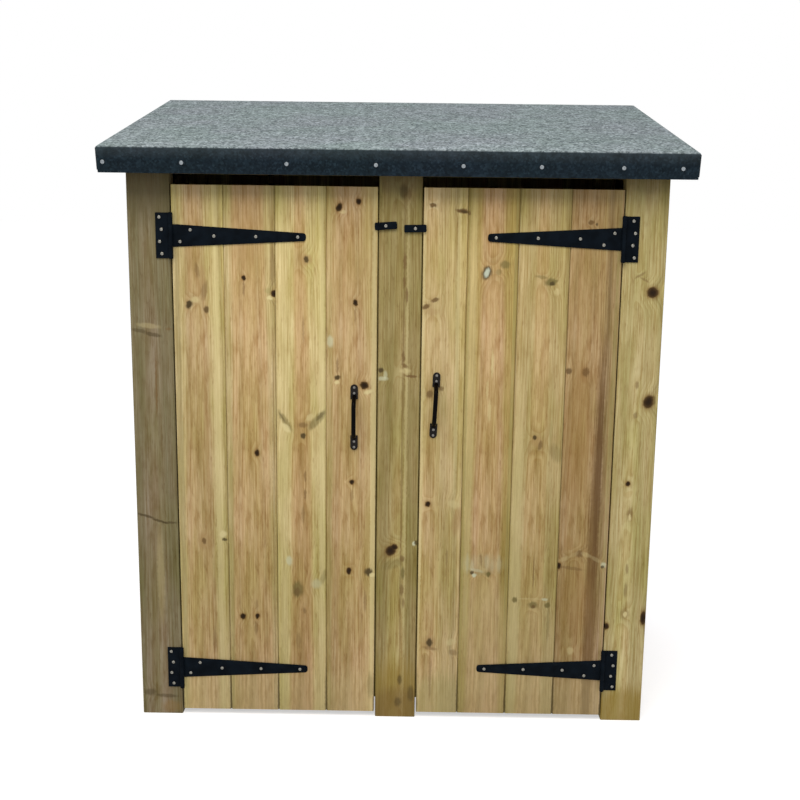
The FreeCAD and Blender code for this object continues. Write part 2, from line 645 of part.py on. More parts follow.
skin = roof_block((-ROOF_HALF_WIDTH, ROOF_HALF_WIDTH), (0, ROOF_LENGTH), (-ROOF_THICK, 0))
core = roof_block(deck_x, deck_u, (-2 * ROOF_THICK, -FELT_THICK))
nodes["roof_felt"] = drilled(skin.cut(core), nail_holes)

os.makedirs("parts", exist_ok=True)
for name, shape in nodes.items():
    shape.exportStep("parts/%s.step" % name)
print("nodes:", len(nodes))
print("door openings %.1f and %.1f, roof front height %.1f" % (LEFT_OPENING, RIGHT_OPENING, ROOF_FRONT_HEIGHT))
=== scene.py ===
import math
import random

import bmesh
import bpy
from mathutils import Matrix, Vector


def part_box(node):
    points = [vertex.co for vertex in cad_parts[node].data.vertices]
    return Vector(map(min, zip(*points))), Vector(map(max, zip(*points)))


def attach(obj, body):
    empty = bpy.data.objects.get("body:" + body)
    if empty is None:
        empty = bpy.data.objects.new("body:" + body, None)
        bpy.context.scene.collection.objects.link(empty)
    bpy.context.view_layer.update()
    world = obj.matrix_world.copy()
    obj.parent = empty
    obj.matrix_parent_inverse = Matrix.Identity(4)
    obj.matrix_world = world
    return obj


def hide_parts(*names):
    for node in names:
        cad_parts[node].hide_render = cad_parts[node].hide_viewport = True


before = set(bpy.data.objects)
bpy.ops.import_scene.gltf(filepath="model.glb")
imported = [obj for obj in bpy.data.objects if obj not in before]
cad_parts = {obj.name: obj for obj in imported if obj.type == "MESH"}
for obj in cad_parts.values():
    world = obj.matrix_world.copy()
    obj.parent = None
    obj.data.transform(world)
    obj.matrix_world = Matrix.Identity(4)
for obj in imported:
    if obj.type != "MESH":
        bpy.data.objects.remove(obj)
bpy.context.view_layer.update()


# Floor: six planed tongue-and-groove boards laid across three sawn bearers that stand on the ground.
# All of it is pressure-treated pine, nailed down through the boards' tongues. It shows with a door open.
MM = 0.001
BOARD_THICK = 16 * MM
JOINT_V = 2.6 * MM
TONGUE_THICK = 5 * MM
TONGUE_DEPTH = 6 * MM
GROOVE_PLAY = 0.3 * MM
PLANED_ARRIS = 0.6 * MM
TINY = 0.01 * MM
X, Y, Z = Vector((1, 0, 0)), Vector((0, 1, 0)), Vector((0, 0, 1))
UPRIGHT, ALONG_X, ALONG_Y = (0, 0, 0), (0, math.pi / 2, 0), (math.pi / 2, 0, 0)
SHARP_FROM, SMOOTH_TO = math.radians(30), math.radians(40)


def linear(hex_colour, level=1.0):
    """The linear colour of an sRGB hex value, made darker or lighter by a level."""
    parts = [int(hex_colour[i:i + 2], 16) / 255 for i in (1, 3, 5)]
    return [level * (c / 12.92 if c <= 0.04045 else ((c + 0.055) / 1.055) ** 2.4) for c in parts] + [1]


def add(tree, kind, inputs, stops=(), **settings):
    """Adds a shader node: inputs are values, sockets or nodes, and stops are a ramp's places and colours."""
    node = tree.nodes.new("ShaderNode" + kind)
    for name, value in settings.items():
        setattr(node, name, value)
    for key, value in inputs.items():
        if isinstance(value, bpy.types.Node):
            value = value.outputs[0]
        if isinstance(value, bpy.types.NodeSocket):
            tree.links.new(value, node.inputs[key])
        else:
            node.inputs[key].default_value = value
    for i, (place, colour) in enumerate(stops):
        stop = node.color_ramp.elements[i] if i < 2 else node.color_ramp.elements.new(place)
        stop.position = place
        stop.color = linear(colour) if isinstance(colour, str) else colour
    return node


def new_material(name):
    """An empty node material and its tree."""
    material = bpy.data.materials.new(name)
    material.use_nodes = True
    material.node_tree.nodes.clear()
    return material, material.node_tree


def treated_pine(name, sapwood, heartwood, pith, heart, knots=(), patches=(), turn=UPRIGHT):
    """Planed pine cut from a log: growth rings about the pith, heartwood inside a radius, and knots that
    swell the rings. The eye sees long stripes with darker late wood, short resin flecks and a faint green
    from the treatment. A knot is a place in the frame, a width, a length and a lean, and a patch has a
    colour and a strength as well. Sizes of patterns are in millimetres, the last one along the grain."""
    ring = 5.5
    ring_drift, drift_size = 10.0, (130.0, 130.0, 620.0)
    log_taper = 0.011
    band, close_band = 21.0, 8.0
    fleck_size, fibre_size, stain_size = (3.2, 3.2, 20.0), (1.9, 1.9, 110.0), (45.0, 45.0, 260.0)
    blotch_size = (10.0, 10.0, 48.0)
    knot_depth, ragged, ragged_size = 45 * MM, 5 * MM, 8 * MM
    swell_limit, knot_swell, patch_swell = 36, 0.45, 0.3
    heart_edge, fray = 5, 0.7
    relief_depth = 0.35 * MM

    material, tree = new_material(name)
    spot = add(tree, "TexCoord", {}).outputs["Object"]
    grain = add(tree, "Mapping", {"Vector": spot, "Location": pith, "Rotation": turn, "Scale": (MM, MM, MM)},
                vector_type="TEXTURE")
    drift_at = add(tree, "Mapping", {"Vector": grain, "Scale": drift_size}, vector_type="TEXTURE")
    drift = add(tree, "TexNoise", {"Vector": drift_at, "Scale": 1.0, "Detail": 1.5})
    log = add(tree, "VectorMath", {0: drift.outputs["Color"], 1: (ring_drift, ring_drift, 0), 2: grain},
              operation="MULTIPLY_ADD")
    section = add(tree, "VectorMath", {0: log, 1: (1, 1, 0)}, operation="MULTIPLY")
    radius = add(tree, "VectorMath", {0: section}, operation="LENGTH").outputs["Value"]
    rise = add(tree, "VectorMath", {0: log, 1: (0, 0, log_taper)}, operation="DOT_PRODUCT").outputs["Value"]
    radius = add(tree, "Math", {0: radius, 1: rise}, operation="ADD")
    inside = add(tree, "MapRange", {"Value": radius, "From Min": heart + heart_edge,
                                    "From Max": heart - heart_edge}, interpolation_type="SMOOTHSTEP")
    fibre_at = add(tree, "Mapping", {"Vector": log, "Scale": fibre_size}, vector_type="TEXTURE")
    fibre = add(tree, "TexNoise", {"Vector": fibre_at, "Scale": 1.0, "Detail": 2.0})

    edge_at = add(tree, "Mapping", {"Vector": spot, "Scale": (ragged_size,) * 3}, vector_type="TEXTURE")
    edge_noise = add(tree, "TexNoise", {"Vector": edge_at, "Scale": 1.0, "Detail": 2.0})
    torn = add(tree, "VectorMath", {0: edge_noise.outputs["Color"], 1: (ragged,) * 3, 2: spot},
               operation="MULTIPLY_ADD")
    half_ragged = Vector((ragged, ragged, ragged)) / 2
    nearest, painted = None, []
    largest_first = sorted(patches, key=lambda mark: -mark[1] * mark[2])
    for where, wide, tall, lean, *paint in list(knots) + largest_first:
        place = {
            "Vector": torn,
            "Location": where + half_ragged,
            "Rotation": (0, math.radians(lean), turn[2]),
            "Scale": (wide / 2 * MM, knot_depth, tall / 2 * MM),
        }
        local = add(tree, "Mapping", place, vector_type="TEXTURE")
        away = add(tree, "VectorMath", {0: local}, operation="LENGTH").outputs["Value"]
        if max(wide, tall) < swell_limit:
            push = min(wide, tall) * (patch_swell if paint else knot_swell)
            bulge = {"Value": away, "From Min": 0.3, "From Max": 4.2, "To Min": push, "To Max": 0.0}
            swell = add(tree, "MapRange", bulge, interpolation_type="SMOOTHERSTEP")
            radius = add(tree, "Math", {0: radius, 1: swell}, operation="ADD")
        if paint:
            painted.append((away, *paint))
        elif nearest is None:
            nearest = away
        else:
            nearest = add(tree, "Math", {0: nearest, 1: away}, operation="MINIMUM")

    broad = add(tree, "TexNoise", {"W": radius, "Scale": 1 / band, "Detail": 1.5}, noise_dimensions="1D")
    close = add(tree, "TexNoise", {"W": radius, "Scale": 1 / close_band, "Detail": 2.0},
                noise_dimensions="1D")
    sap = add(tree, "ValToRGB", {"Fac": broad},
              stops=[(0.34, linear(sapwood, 0.82)), (0.66, linear(sapwood, 1.14)), (0.5, sapwood)])
    core = add(tree, "ValToRGB", {"Fac": close}, stops=[(0.3, linear(heartwood, 0.86)), (0.65, heartwood)])
    wood = add(tree, "MixRGB", {"Fac": inside, "Color1": sap, "Color2": core})
    phase = add(tree, "Math", {0: radius, 1: 1 / ring, 2: close}, operation="MULTIPLY_ADD")
    cycle = add(tree, "Math", {0: phase}, operation="FRACT")
    late = add(tree, "ValToRGB", {"Fac": cycle},
               stops=[(0.3, "#000000"), (1.0, "#404040"), (0.88, "#a0a0a0"), (0.95, "#909090")])
    wood = add(tree, "MixRGB", {"Fac": late, "Color1": wood, "Color2": linear("#cfb78e")},
               blend_type="MULTIPLY")
    thread = add(tree, "ValToRGB", {"Fac": fibre}, stops=[(0.3, "#ded5be"), (0.58, "#ffffff")])
    wood = add(tree, "MixRGB", {"Fac": 1.0, "Color1": wood, "Color2": thread}, blend_type="MULTIPLY")
    blotch_at = add(tree, "Mapping", {"Vector": log, "Scale": blotch_size}, vector_type="TEXTURE")
    blotch = add(tree, "TexNoise", {"Vector": blotch_at, "Scale": 1.0, "Detail": 3.0, "Roughness": 0.6})
    cloudy = add(tree, "ValToRGB", {"Fac": blotch},
                 stops=[(0.3, "#d6c3a2"), (0.7, (1.1, 1.09, 1.06, 1)), (0.5, "#fbf7ee")])
    depth = add(tree, "MapRange", {"Value": inside, "To Min": 0.4, "To Max": 0.65})
    wood = add(tree, "MixRGB", {"Fac": depth, "Color1": wood, "Color2": cloudy}, blend_type="MULTIPLY")
    fleck_at = add(tree, "Mapping", {"Vector": log, "Scale": fleck_size}, vector_type="TEXTURE")
    fleck = add(tree, "TexNoise", {"Vector": fleck_at, "Scale": 1.0, "Detail": 1.0})
    dash = add(tree, "ValToRGB", {"Fac": fleck}, stops=[(0.6, "#000000"), (0.74, "#909090")])
    wood = add(tree, "MixRGB", {"Fac": dash, "Color1": wood, "Color2": linear("#ad8b5c")},
               blend_type="MULTIPLY")
    stain_at = add(tree, "Mapping", {"Vector": grain, "Scale": stain_size}, vector_type="TEXTURE")
    stain = add(tree, "TexNoise", {"Vector": stain_at, "Scale": 1.0, "Detail": 2.0})
    tint = add(tree, "ValToRGB", {"Fac": stain}, stops=[(0.35, "#e4e8cc"), (0.6, "#ffffff")])
    wood = add(tree, "MixRGB", {"Fac": 1.0, "Color1": wood, "Color2": tint}, blend_type="MULTIPLY")
    for away, colour, strength in painted:
        frayed = add(tree, "Math", {0: fibre, 1: fray, 2: away}, operation="MULTIPLY_ADD")
        cover = {"Value": frayed, "From Min": 0.95, "From Max": 1.75, "To Min": strength, "To Max": 0.0}
        amount = add(tree, "MapRange", cover, interpolation_type="SMOOTHSTEP")
        wood = add(tree, "MixRGB", {"Fac": amount, "Color1": wood, "Color2": linear(colour)})
    if nearest is not None:
        ringed = {"Value": nearest, "From Min": 0.9, "From Max": 1.9, "To Min": 0.45, "To Max": 0.0}
        halo = add(tree, "MapRange", ringed, interpolation_type="SMOOTHSTEP")
        wood = add(tree, "MixRGB", {"Fac": halo, "Color1": wood, "Color2": linear("#b39060")},
                   blend_type="MULTIPLY")
        knotwood = add(tree, "ValToRGB", {"Fac": nearest},
                       stops=[(0.0, "#20160c"), (1.0, "#66502f"), (0.5, "#2d1f0f"), (0.85, "#46341b")])
        inner = add(tree, "MapRange", {"Value": nearest, "From Min": 1.25, "From Max": 0.85},
                    interpolation_type="SMOOTHSTEP")
        wood = add(tree, "MixRGB", {"Fac": inner, "Color1": wood, "Color2": knotwood})
    relief = add(tree, "Math", {0: late, 1: 0.6, 2: fibre}, operation="MULTIPLY_ADD")
    bump = add(tree, "Bump", {"Height": relief, "Strength": 0.4, "Distance": relief_depth})
    gloss = add(tree, "MapRange", {"Value": fibre, "To Min": 0.62, "To Max": 0.8})
    surface = add(tree, "BsdfPrincipled", {"Base Color": wood, "Roughness": gloss, "Normal": bump,
                                           "Specular IOR Level": 0.1})
    add(tree, "OutputMaterial", {"Surface": surface})
    return material


def block(name, low, high):
    """A box between two corners, left in edit mode to be shaped."""
    bpy.ops.object.select_all(action="DESELECT")
    bpy.ops.mesh.primitive_cube_add(size=1, location=(low + high) / 2, scale=high - low)
    piece = bpy.context.object
    piece.name = name
    bpy.ops.object.transform_apply(location=True, rotation=True, scale=True)
    bpy.ops.object.mode_set(mode="EDIT")
    return piece


def pick(piece, parts, wanted):
    """In edit mode, selects only the faces or edges whose middle and direction the test wants."""
    bpy.ops.mesh.select_mode(type=parts)
    bpy.ops.mesh.select_all(action="DESELECT")
    mesh = bmesh.from_edit_mesh(piece.data)
    if parts == "FACE":
        for face in mesh.faces:
            face.select_set(wanted(face.calc_center_median(), face.normal))
    else:
        for edge in mesh.edges:
            start, end = (v.co for v in edge.verts)
            if wanted((start + end) / 2, (end - start).normalized()):
                edge.select_set(True)
    bmesh.update_edit_mesh(piece.data)


def ease(piece, width, segments=2):
    """Leaves edit mode and rounds every sharp arris by the same width."""
    bpy.ops.object.mode_set(mode="OBJECT")
    arris = piece.modifiers.new("arris", "BEVEL")
    arris.width = width
    arris.segments = segments
    arris.limit_method = "ANGLE"
    arris.angle_limit = SHARP_FROM
    bpy.ops.object.modifier_apply(modifier=arris.name)
    bpy.ops.object.shade_smooth_by_angle(angle=SMOOTH_TO)


def set_down(piece, across, inward, along, corner):
    """Puts a piece made at the origin in its place, with its own X, Y and Z along three directions."""
    turned = Matrix((across, inward, along)).transposed().to_4x4()
    piece.matrix_world = Matrix.Translation(corner) @ turned
    bpy.ops.object.select_all(action="DESELECT")
    piece.select_set(True)
    bpy.context.view_layer.objects.active = piece
    bpy.ops.object.transform_apply(location=True, rotation=True, scale=True)


def joined(pieces, name):
    """Several pieces made into one."""
    bpy.ops.object.select_all(action="DESELECT")
    for piece in pieces:
        piece.select_set(True)
    bpy.context.view_layer.objects.active = pieces[0]
    bpy.ops.object.join()
    pieces[0].name = name
    return pieces[0]


def solids_of(node):
    """The corner points of each separate solid of a CAD node, read from a merged copy of its mesh."""
    bpy.ops.object.select_all(action="DESELECT")
    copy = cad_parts[node].copy()
    copy.data = copy.data.copy()
    bpy.context.scene.collection.objects.link(copy)
    copy.select_set(True)
    bpy.context.view_layer.objects.active = copy
    bpy.ops.object.mode_set(mode="EDIT")
    bpy.ops.mesh.select_all(action="SELECT")
    bpy.ops.mesh.remove_doubles(threshold=TINY)
    bpy.ops.mesh.separate(type="LOOSE")
    bpy.ops.object.mode_set(mode="OBJECT")
    solids = [[v.co.copy() for v in part.data.vertices] for part in bpy.context.selected_objects]
    bpy.ops.object.delete()
    return solids


def corners(points):
    """The lowest and highest corner of a set of points."""
    return Vector(map(min, *points)), Vector(map(max, *points))


def planed_board(name, width, length, left, right):
    """A board standing at the origin with its face to -Y. Each edge is square, a tongue or a groove."""
    piece = block(name, Vector((0, 0, 0)), Vector((width, BOARD_THICK, length)))
    edges = {0: left, width: right}

    def is_joint(middle, way):
        on_face = abs(way.z) > 0.9 and middle.y < TINY
        return on_face and any(abs(middle.x - x) < TINY and kind != "square" for x, kind in edges.items())

    pick(piece, "EDGE", is_joint)
    bpy.ops.mesh.bevel(offset=JOINT_V, segments=1, affect="EDGES")
    for x, kind in edges.items():
        if kind == "square":
            continue
        outward = 1 if x > width / 2 else -1
        play = GROOVE_PLAY if kind == "groove" else 0
        low = (BOARD_THICK - TONGUE_THICK) / 2 - play
        high = (BOARD_THICK + TONGUE_THICK) / 2 + play
        for depth in (low, high):
            pick(piece, "FACE", lambda middle, normal: abs(middle.x - x) < TINY)
            bpy.ops.mesh.bisect(plane_co=(0, depth, 0), plane_no=(0, 1, 0))
        pick(piece, "FACE", lambda middle, normal: abs(middle.x - x) < TINY and low < middle.y < high)
        step = TONGUE_DEPTH * outward * (1 if kind == "tongue" else -1)
        bpy.ops.mesh.extrude_region_move(TRANSFORM_OT_translate={"value": (step, 0, 0)})
    ease(piece, PLANED_ARRIS, segments=1)
    return piece


def laid_boards(node, across, inward, along, tongue_left):
    """One planed board for each solid of a CAD node, where that solid is. The two at the ends of the row
    have square outer edges."""
    boxes = [corners(points) for points in solids_of(node)]
    boxes.sort(key=lambda box: (box[0] + box[1]).dot(across))
    boards = []
    for i, (low, high) in enumerate(boxes):
        kinds = ["tongue", "groove"] if tongue_left else ["groove", "tongue"]
        if i == 0:
            kinds[0] = "square"
        if i == len(boxes) - 1:
            kinds[1] = "square"
        size = high - low
        width = abs(size.dot(across)) - TONGUE_DEPTH * kinds.count("tongue")
        board = planed_board("board", width, abs(size.dot(along)), *kinds)
        starts = [min(low.dot(way), high.dot(way)) for way in (across, inward, along)]
        corner = across * starts[0] + inward * starts[1] + along * starts[2]
        if kinds[0] == "tongue":
            corner += across * TONGUE_DEPTH
        set_down(board, across, inward, along, corner)
        boards.append(board)
    return boards


def wear(node, material):
    """Gives a CAD node the material in place of its plain one."""
    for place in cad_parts[node].material_slots:
        place.material = material


draw = random.Random(5)
floor_boards = laid_boards("floor_boards", -Y, -Z, X, True)
for number, board in enumerate(floor_boards):
    low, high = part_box("floor_boards")
    middle = (Vector(board.bound_box[0]) + Vector(board.bound_box[6])) / 2
    pith = Vector((0, middle.y + draw.uniform(-30, 30) * MM, low.z - draw.uniform(15, 45) * MM))
    board.data.materials.append(treated_pine("floor_pine_%d" % number, "#bba976", "#ab9064", pith,
                                             draw.uniform(20, 60), turn=ALONG_X))
floor = joined(floor_boards, "floor_boards_planed")
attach(floor, "carcass")
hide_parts("floor_boards")
for side in ("left", "centre", "right"):
    low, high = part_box(side + "_floor_bearer")
    pith = (low + high) / 2 + Vector((30, 0, -26)) * MM
    wear(side + "_floor_bearer", treated_pine("bearer_pine_" + side, "#a3935f", "#95805a", pith, 24,
                                              turn=ALONG_Y))


# Rear posts, rails and the centre rafter: sawn and treated square timber, skew-screwed at its ends.
# The boards are nailed to it from outside, so it shows only inside the store.
def inner_timber(node, turn, shift):
    """A length of sawn timber whose log's heart ran a little outside it."""
    low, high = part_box(node)
    return treated_pine(node + "_pine", "#b09f6a", "#a0875c", (low + high) / 2 + shift * MM, 30, turn=turn)


for node in ("left_rear_post", "right_rear_post"):
    wear(node, inner_timber(node, UPRIGHT, Vector((18, 30, 0))))
for node in ("front_top_rail", "rear_top_rail", "rear_middle_rail"):
    wear(node, inner_timber(node, ALONG_X, Vector((0, 24, 20))))
for node in ("left_top_rail", "right_top_rail", "left_middle_rail", "right_middle_rail", "centre_rafter"):
    wear(node, inner_timber(node, ALONG_Y, Vector((26, 0, -22))))


# Front posts: three planed 95 by 45 posts with eased edges, cut at the head to the roof's slope.
# They stand on the ground and carry the doors. The left one is a greyer piece, the right one yellower.
ROOF_SLOPE = math.radians(11)
POST_ARRIS = 2.5 * MM
POST_PITH_BEHIND = 40
post_low, post_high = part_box("left_front_post")
DECK_UNDERSIDE = Vector((0, post_high.y, post_high.z))
SLOPE_UP = Vector((0, -math.sin(ROOF_SLOPE), math.cos(ROOF_SLOPE)))


def cut_to_roof(piece):
    """Cuts off, in edit mode, what stands above the roof deck's underside."""
    bpy.ops.mesh.select_all(action="SELECT")
    bpy.ops.mesh.bisect(plane_co=DECK_UNDERSIDE, plane_no=SLOPE_UP, use_fill=True, clear_outer=True)


def on_front(left, across, up):
    """A place on the front, across from a board's left edge and up from the ground, in millimetres."""
    return Vector((left + across * MM, post_low.y, up * MM))


def marks(left, rows):
    """Rows of a mark's place on a board, followed by the rest of the mark, as places in the frame."""
    return [(on_front(left, across, up), *rest) for across, up, *rest in rows]


PALE, BLOOM, AMBER, DAMP, HONEY = "#d2c48f", "#c3c6a6", "#87702f", "#948d58", "#8a6c3e"
# The last tone of the next line is painted shade: the darker grey-brown painted on the heads of the posts
# and door boards, where the roof's eave shades them.
TAN, OLIVE, BROWN, DARK, EAVE_SHADE = "#a38558", "#6c6137", "#6a5130", "#41351f", "#5f563d"
# Lengths here are in millimetres, from a piece's left edge and up from the ground. A heart is its middle and
# half its width, a knot its place, width, length and lean, and a patch has a colour and a strength as well.
# Each post's last patch paints its head darker: painted shade under the roof's eave.
posts = {
    "left": dict(
        sapwood="#817960", heartwood="#918570", heart=(48, 26),
        knots=[],
        patches=[(18, 924, 36, 9, 8, DARK, 0.5), (50, 915, 38, 9, 10, DARK, 0.6),
                 (40, 935, 50, 11, 6, PALE, 0.2), (86, 928, 14, 6, 0, BROWN, 0.5),
                 (54, 805, 4, 150, 0, BROWN, 0.7), (20, 492, 42, 6, 14, DARK, 0.7),
                 (52, 480, 38, 6, 18, DARK, 0.7), (76, 476, 34, 6, 0, DARK, 0.6),
                 (52, 350, 17, 210, 0, PALE, 0.18), (18, 54, 30, 16, 0, DARK, 0.5),
                 (58, 45, 52, 9, 3, DARK, 0.5), (68, 18, 44, 30, 0, HONEY, 0.4),
                 (48, 1270, 150, 220, 0, EAVE_SHADE, 0.6)],
    ),
    "centre": dict(
        sapwood="#9f9165", heartwood="#beae7e", heart=(52, 18),
        knots=[(33, 416, 23, 26, 30), (41, 424, 18, 15, -30)],
        patches=[(7, 841, 12, 12, 0, DARK, 0.9), (12, 822, 22, 10, 0, BLOOM, 0.5),
                 (17, 830, 8, 20, 0, BLOOM, 0.4), (57, 872, 7, 28, 0, BROWN, 0.75),
                 (60, 852, 15, 8, 30, BROWN, 0.7), (76, 828, 26, 6, 4, BROWN, 0.85),
                 (62, 840, 24, 12, 0, PALE, 0.35), (58, 1085, 7, 36, 0, BROWN, 0.75),
                 (63, 1010, 6, 32, 0, BROWN, 0.7), (57, 1040, 6, 26, 0, BROWN, 0.6),
                 (53, 1238, 18, 30, 0, DARK, 0.6), (66, 1232, 8, 26, 0, BROWN, 0.6),
                 (60, 397, 11, 16, 0, BROWN, 0.7), (62, 362, 9, 28, 0, OLIVE, 0.8),
                 (60, 320, 9, 28, 0, BROWN, 0.6), (64, 288, 7, 22, 0, BROWN, 0.5),
                 (87, 434, 7, 11, 0, BLOOM, 0.8), (92, 436, 7, 10, 0, DARK, 0.8),
                 (40, 384, 54, 22, -20, OLIVE, 0.4), (57, 700, 5, 1200, 0, BROWN, 0.4),
                 (65, 700, 6, 1200, 0, PALE, 0.3), (48, 50, 120, 190, 0, AMBER, 0.6),
                 (48, 20, 130, 110, 0, BROWN, 0.45), (58, 95, 11, 24, 0, DARK, 0.6),
                 (84, 60, 14, 40, 0, DARK, 0.5), (54, 38, 16, 24, 0, DARK, 0.5),
                 (48, 1264, 120, 56, 0, EAVE_SHADE, 0.5)],
    ),
    "right": dict(
        sapwood="#bbae80", heartwood="#d2c497", heart=(44, 18),
        knots=[(69, 1024, 25, 25, 0), (73, 777, 23, 31, 15), (37, 585, 11, 12, 0), (89, 260, 14, 35, 0),
               (3, 238, 12, 16, 0)],
        patches=[(40, 1062, 26, 6, -30, BROWN, 0.5), (50, 1052, 22, 5, 30, BROWN, 0.45),
                 (84, 780, 10, 22, 0, OLIVE, 0.7), (45, 745, 9, 16, 0, BROWN, 0.55),
                 (45, 815, 8, 18, 0, BROWN, 0.55), (45, 512, 13, 30, 0, BROWN, 0.55),
                 (45, 505, 6, 16, 0, PALE, 0.7), (45, 380, 8, 24, 0, BROWN, 0.5),
                 (44, 328, 9, 34, 0, BROWN, 0.5), (45, 270, 19, 24, 0, BROWN, 0.4),
                 (46, 268, 9, 12, 0, PALE, 0.7), (48, 25, 130, 120, 0, AMBER, 0.7),
                 (48, 1268, 130, 56, 0, EAVE_SHADE, 0.45)],
    ),
}
for side, look in posts.items():
    node = side + "_front_post"
    low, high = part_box(node)
    post = block(node + "_planed", low, high)
    cut_to_roof(post)
    pick(post, "EDGE", lambda middle, way: abs(way.z) > 0.99)
    bpy.ops.mesh.bevel(offset=POST_ARRIS, segments=3, affect="EDGES")
    ease(post, PLANED_ARRIS, segments=1)
    heart_at, heart_half = look["heart"]
    pith = on_front(low.x, heart_at, 0) + Y * POST_PITH_BEHIND * MM
    radius = math.hypot(heart_half, POST_PITH_BEHIND)
    pine = treated_pine(side + "_post_pine", look["sapwood"], look["heartwood"], pith, radius,
                        marks(low.x, look["knots"]), marks(low.x, look["patches"]))
    post.data.materials.append(pine)
    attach(post, "carcass")
    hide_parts(node)


# Side and back boards: planed tongue-and-groove boards with V joints, nailed upright to the rails from
# outside. Every board comes from another log, so each has its own rings, tone and knots.
def chance_board(name, board, facing, tone):
    """Pine for one wall board, with a pith behind it and a few knots at chance places on its face."""
    knot_rows = 4.6
    low, high = Vector(board.bound_box[0]), Vector(board.bound_box[6])
    middle = (low + high) / 2
    across = Vector((math.cos(facing), math.sin(facing), 0))
    inward = Vector((-math.sin(facing), math.cos(facing), 0))
    half = abs((high - low).dot(across)) / 2
    pith = middle + across * draw.uniform(-half, half) + inward * draw.uniform(25, 60) * MM
    knots = []
    for up in range(draw.randint(3, 5)):
        height = low.z + (high.z - low.z) * (up + draw.uniform(0.2, 0.8)) / knot_rows
        place = middle + across * draw.uniform(-0.8, 0.8) * half
        size = draw.uniform(8, 17)
        where = Vector((place.x, place.y, height))
        knots.append((where, size, size * draw.uniform(1.0, 1.4), draw.uniform(-20, 20)))
    sapwood, heartwood = tone
    return treated_pine(name, sapwood, heartwood, pith, draw.uniform(30, 65), knots, turn=(0, 0, facing))


WALL_TONES = [("#bfad78", "#b0946a"), ("#b6a470", "#a98d60"), ("#c3b27e", "#b69a6e"), ("#b3a26f", "#a58a5c")]
walls = {
    "left_side_boards": (-Y, X, True),
    "right_side_boards": (Y, -X, False),
    "back_boards": (-X, -Y, True),
}
for node, (across, inward, tongue_left) in walls.items():
    boards = laid_boards(node, across, inward, Z, tongue_left)
    for number, board in enumerate(boards):
        bpy.ops.object.select_all(action="DESELECT")
        bpy.context.view_layer.objects.active = board
        bpy.ops.object.mode_set(mode="EDIT")
        cut_to_roof(board)
        bpy.ops.object.mode_set(mode="OBJECT")
        facing = math.atan2(across.y, across.x)
        tone = WALL_TONES[draw.randrange(len(WALL_TONES))]
        board.data.materials.append(chance_board("%s_pine_%d" % (node, number), board, facing, tone))
    wall = joined(boards, node + "_planed")
    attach(wall, "carcass")
    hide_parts(node)


# Roof deck and battens: a pressed strand board sheet on four sawn battens under its edges.
# The felt covers the sheet's top and edges, so the board shows only from below.
def strand_board(name):
    """Pressed strand board: long flat wood strands laid every way, the lightest on top, under a dull resin
    face."""
    strand_long, strand_wide = 75.0, 13.0
    material, tree = new_material(name)
    spot = add(tree, "TexCoord", {}).outputs["Object"]
    top = None
    for lay in (8, 66, -48, 30):
        size = (strand_long * MM, strand_wide * MM, 1.0)
        at = add(tree, "Mapping", {"Vector": spot, "Rotation": (0, 0, math.radians(lay)), "Scale": size},
                 vector_type="TEXTURE")
        strand = add(tree, "TexVoronoi", {"Vector": at, "Scale": 1.0}, voronoi_dimensions="2D")
        shade = strand.outputs["Color"]
        top = shade if top is None else add(tree, "MixRGB", {"Fac": 1.0, "Color1": top, "Color2": shade},
                                            blend_type="LIGHTEN")
    tone = add(tree, "ValToRGB", {"Fac": top},
               stops=[(0.45, "#8f6c3f"), (0.95, "#cdab74"), (0.7, "#b58f58")])
    bump = add(tree, "Bump", {"Height": top, "Strength": 0.4, "Distance": 0.5 * MM})
    surface = add(tree, "BsdfPrincipled", {"Base Color": tone, "Roughness": 0.7, "Normal": bump})
    add(tree, "OutputMaterial", {"Surface": surface})
    return material


wear("roof_deck", strand_board("pressed_strand_board"))
for side in ("front", "rear"):
    wear(side + "_roof_batten", inner_timber(side + "_roof_batten", ALONG_X, Vector((0, 24, 18))))
for side in ("left", "right"):
    wear(side + "_roof_batten", inner_timber(side + "_roof_batten", ALONG_Y, Vector((20, 0, 24))))


# Roof felt: one sheet of mineral-faced bitumen felt, laid over the deck, folded down its four edges and
# lapped round the corners. It takes a soft round fold and lies a little uneven between its nails.
FELT_THICK = 2.2 * MM
FELT_FOLD = 5 * MM
FELT_CORNER = 5 * MM
FELT_UNEVEN = 1 * MM
FELT_WAVE = 90 * MM
FELT_CUTS = 36
FLAP_LONG, FLAP_THICK, FLAP_CUT = 62 * MM, 1.1 * MM, 33 * MM
felt_low, felt_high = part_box("roof_felt")
felt_size = felt_high - felt_low
slope_sin, slope_cos = math.sin(ROOF_SLOPE), math.cos(ROOF_SLOPE)
slope_share = slope_cos ** 2 - slope_sin ** 2
ROOF_LENGTH = (felt_size.y * slope_cos - felt_size.z * slope_sin) / slope_share
ROOF_THICK = (felt_size.z * slope_cos - felt_size.y * slope_sin) / slope_share
UP_SLOPE = Vector((0, slope_cos, slope_sin))
ROOF_EDGE = Vector((0, felt_low.y, felt_low.z + ROOF_THICK * slope_cos))


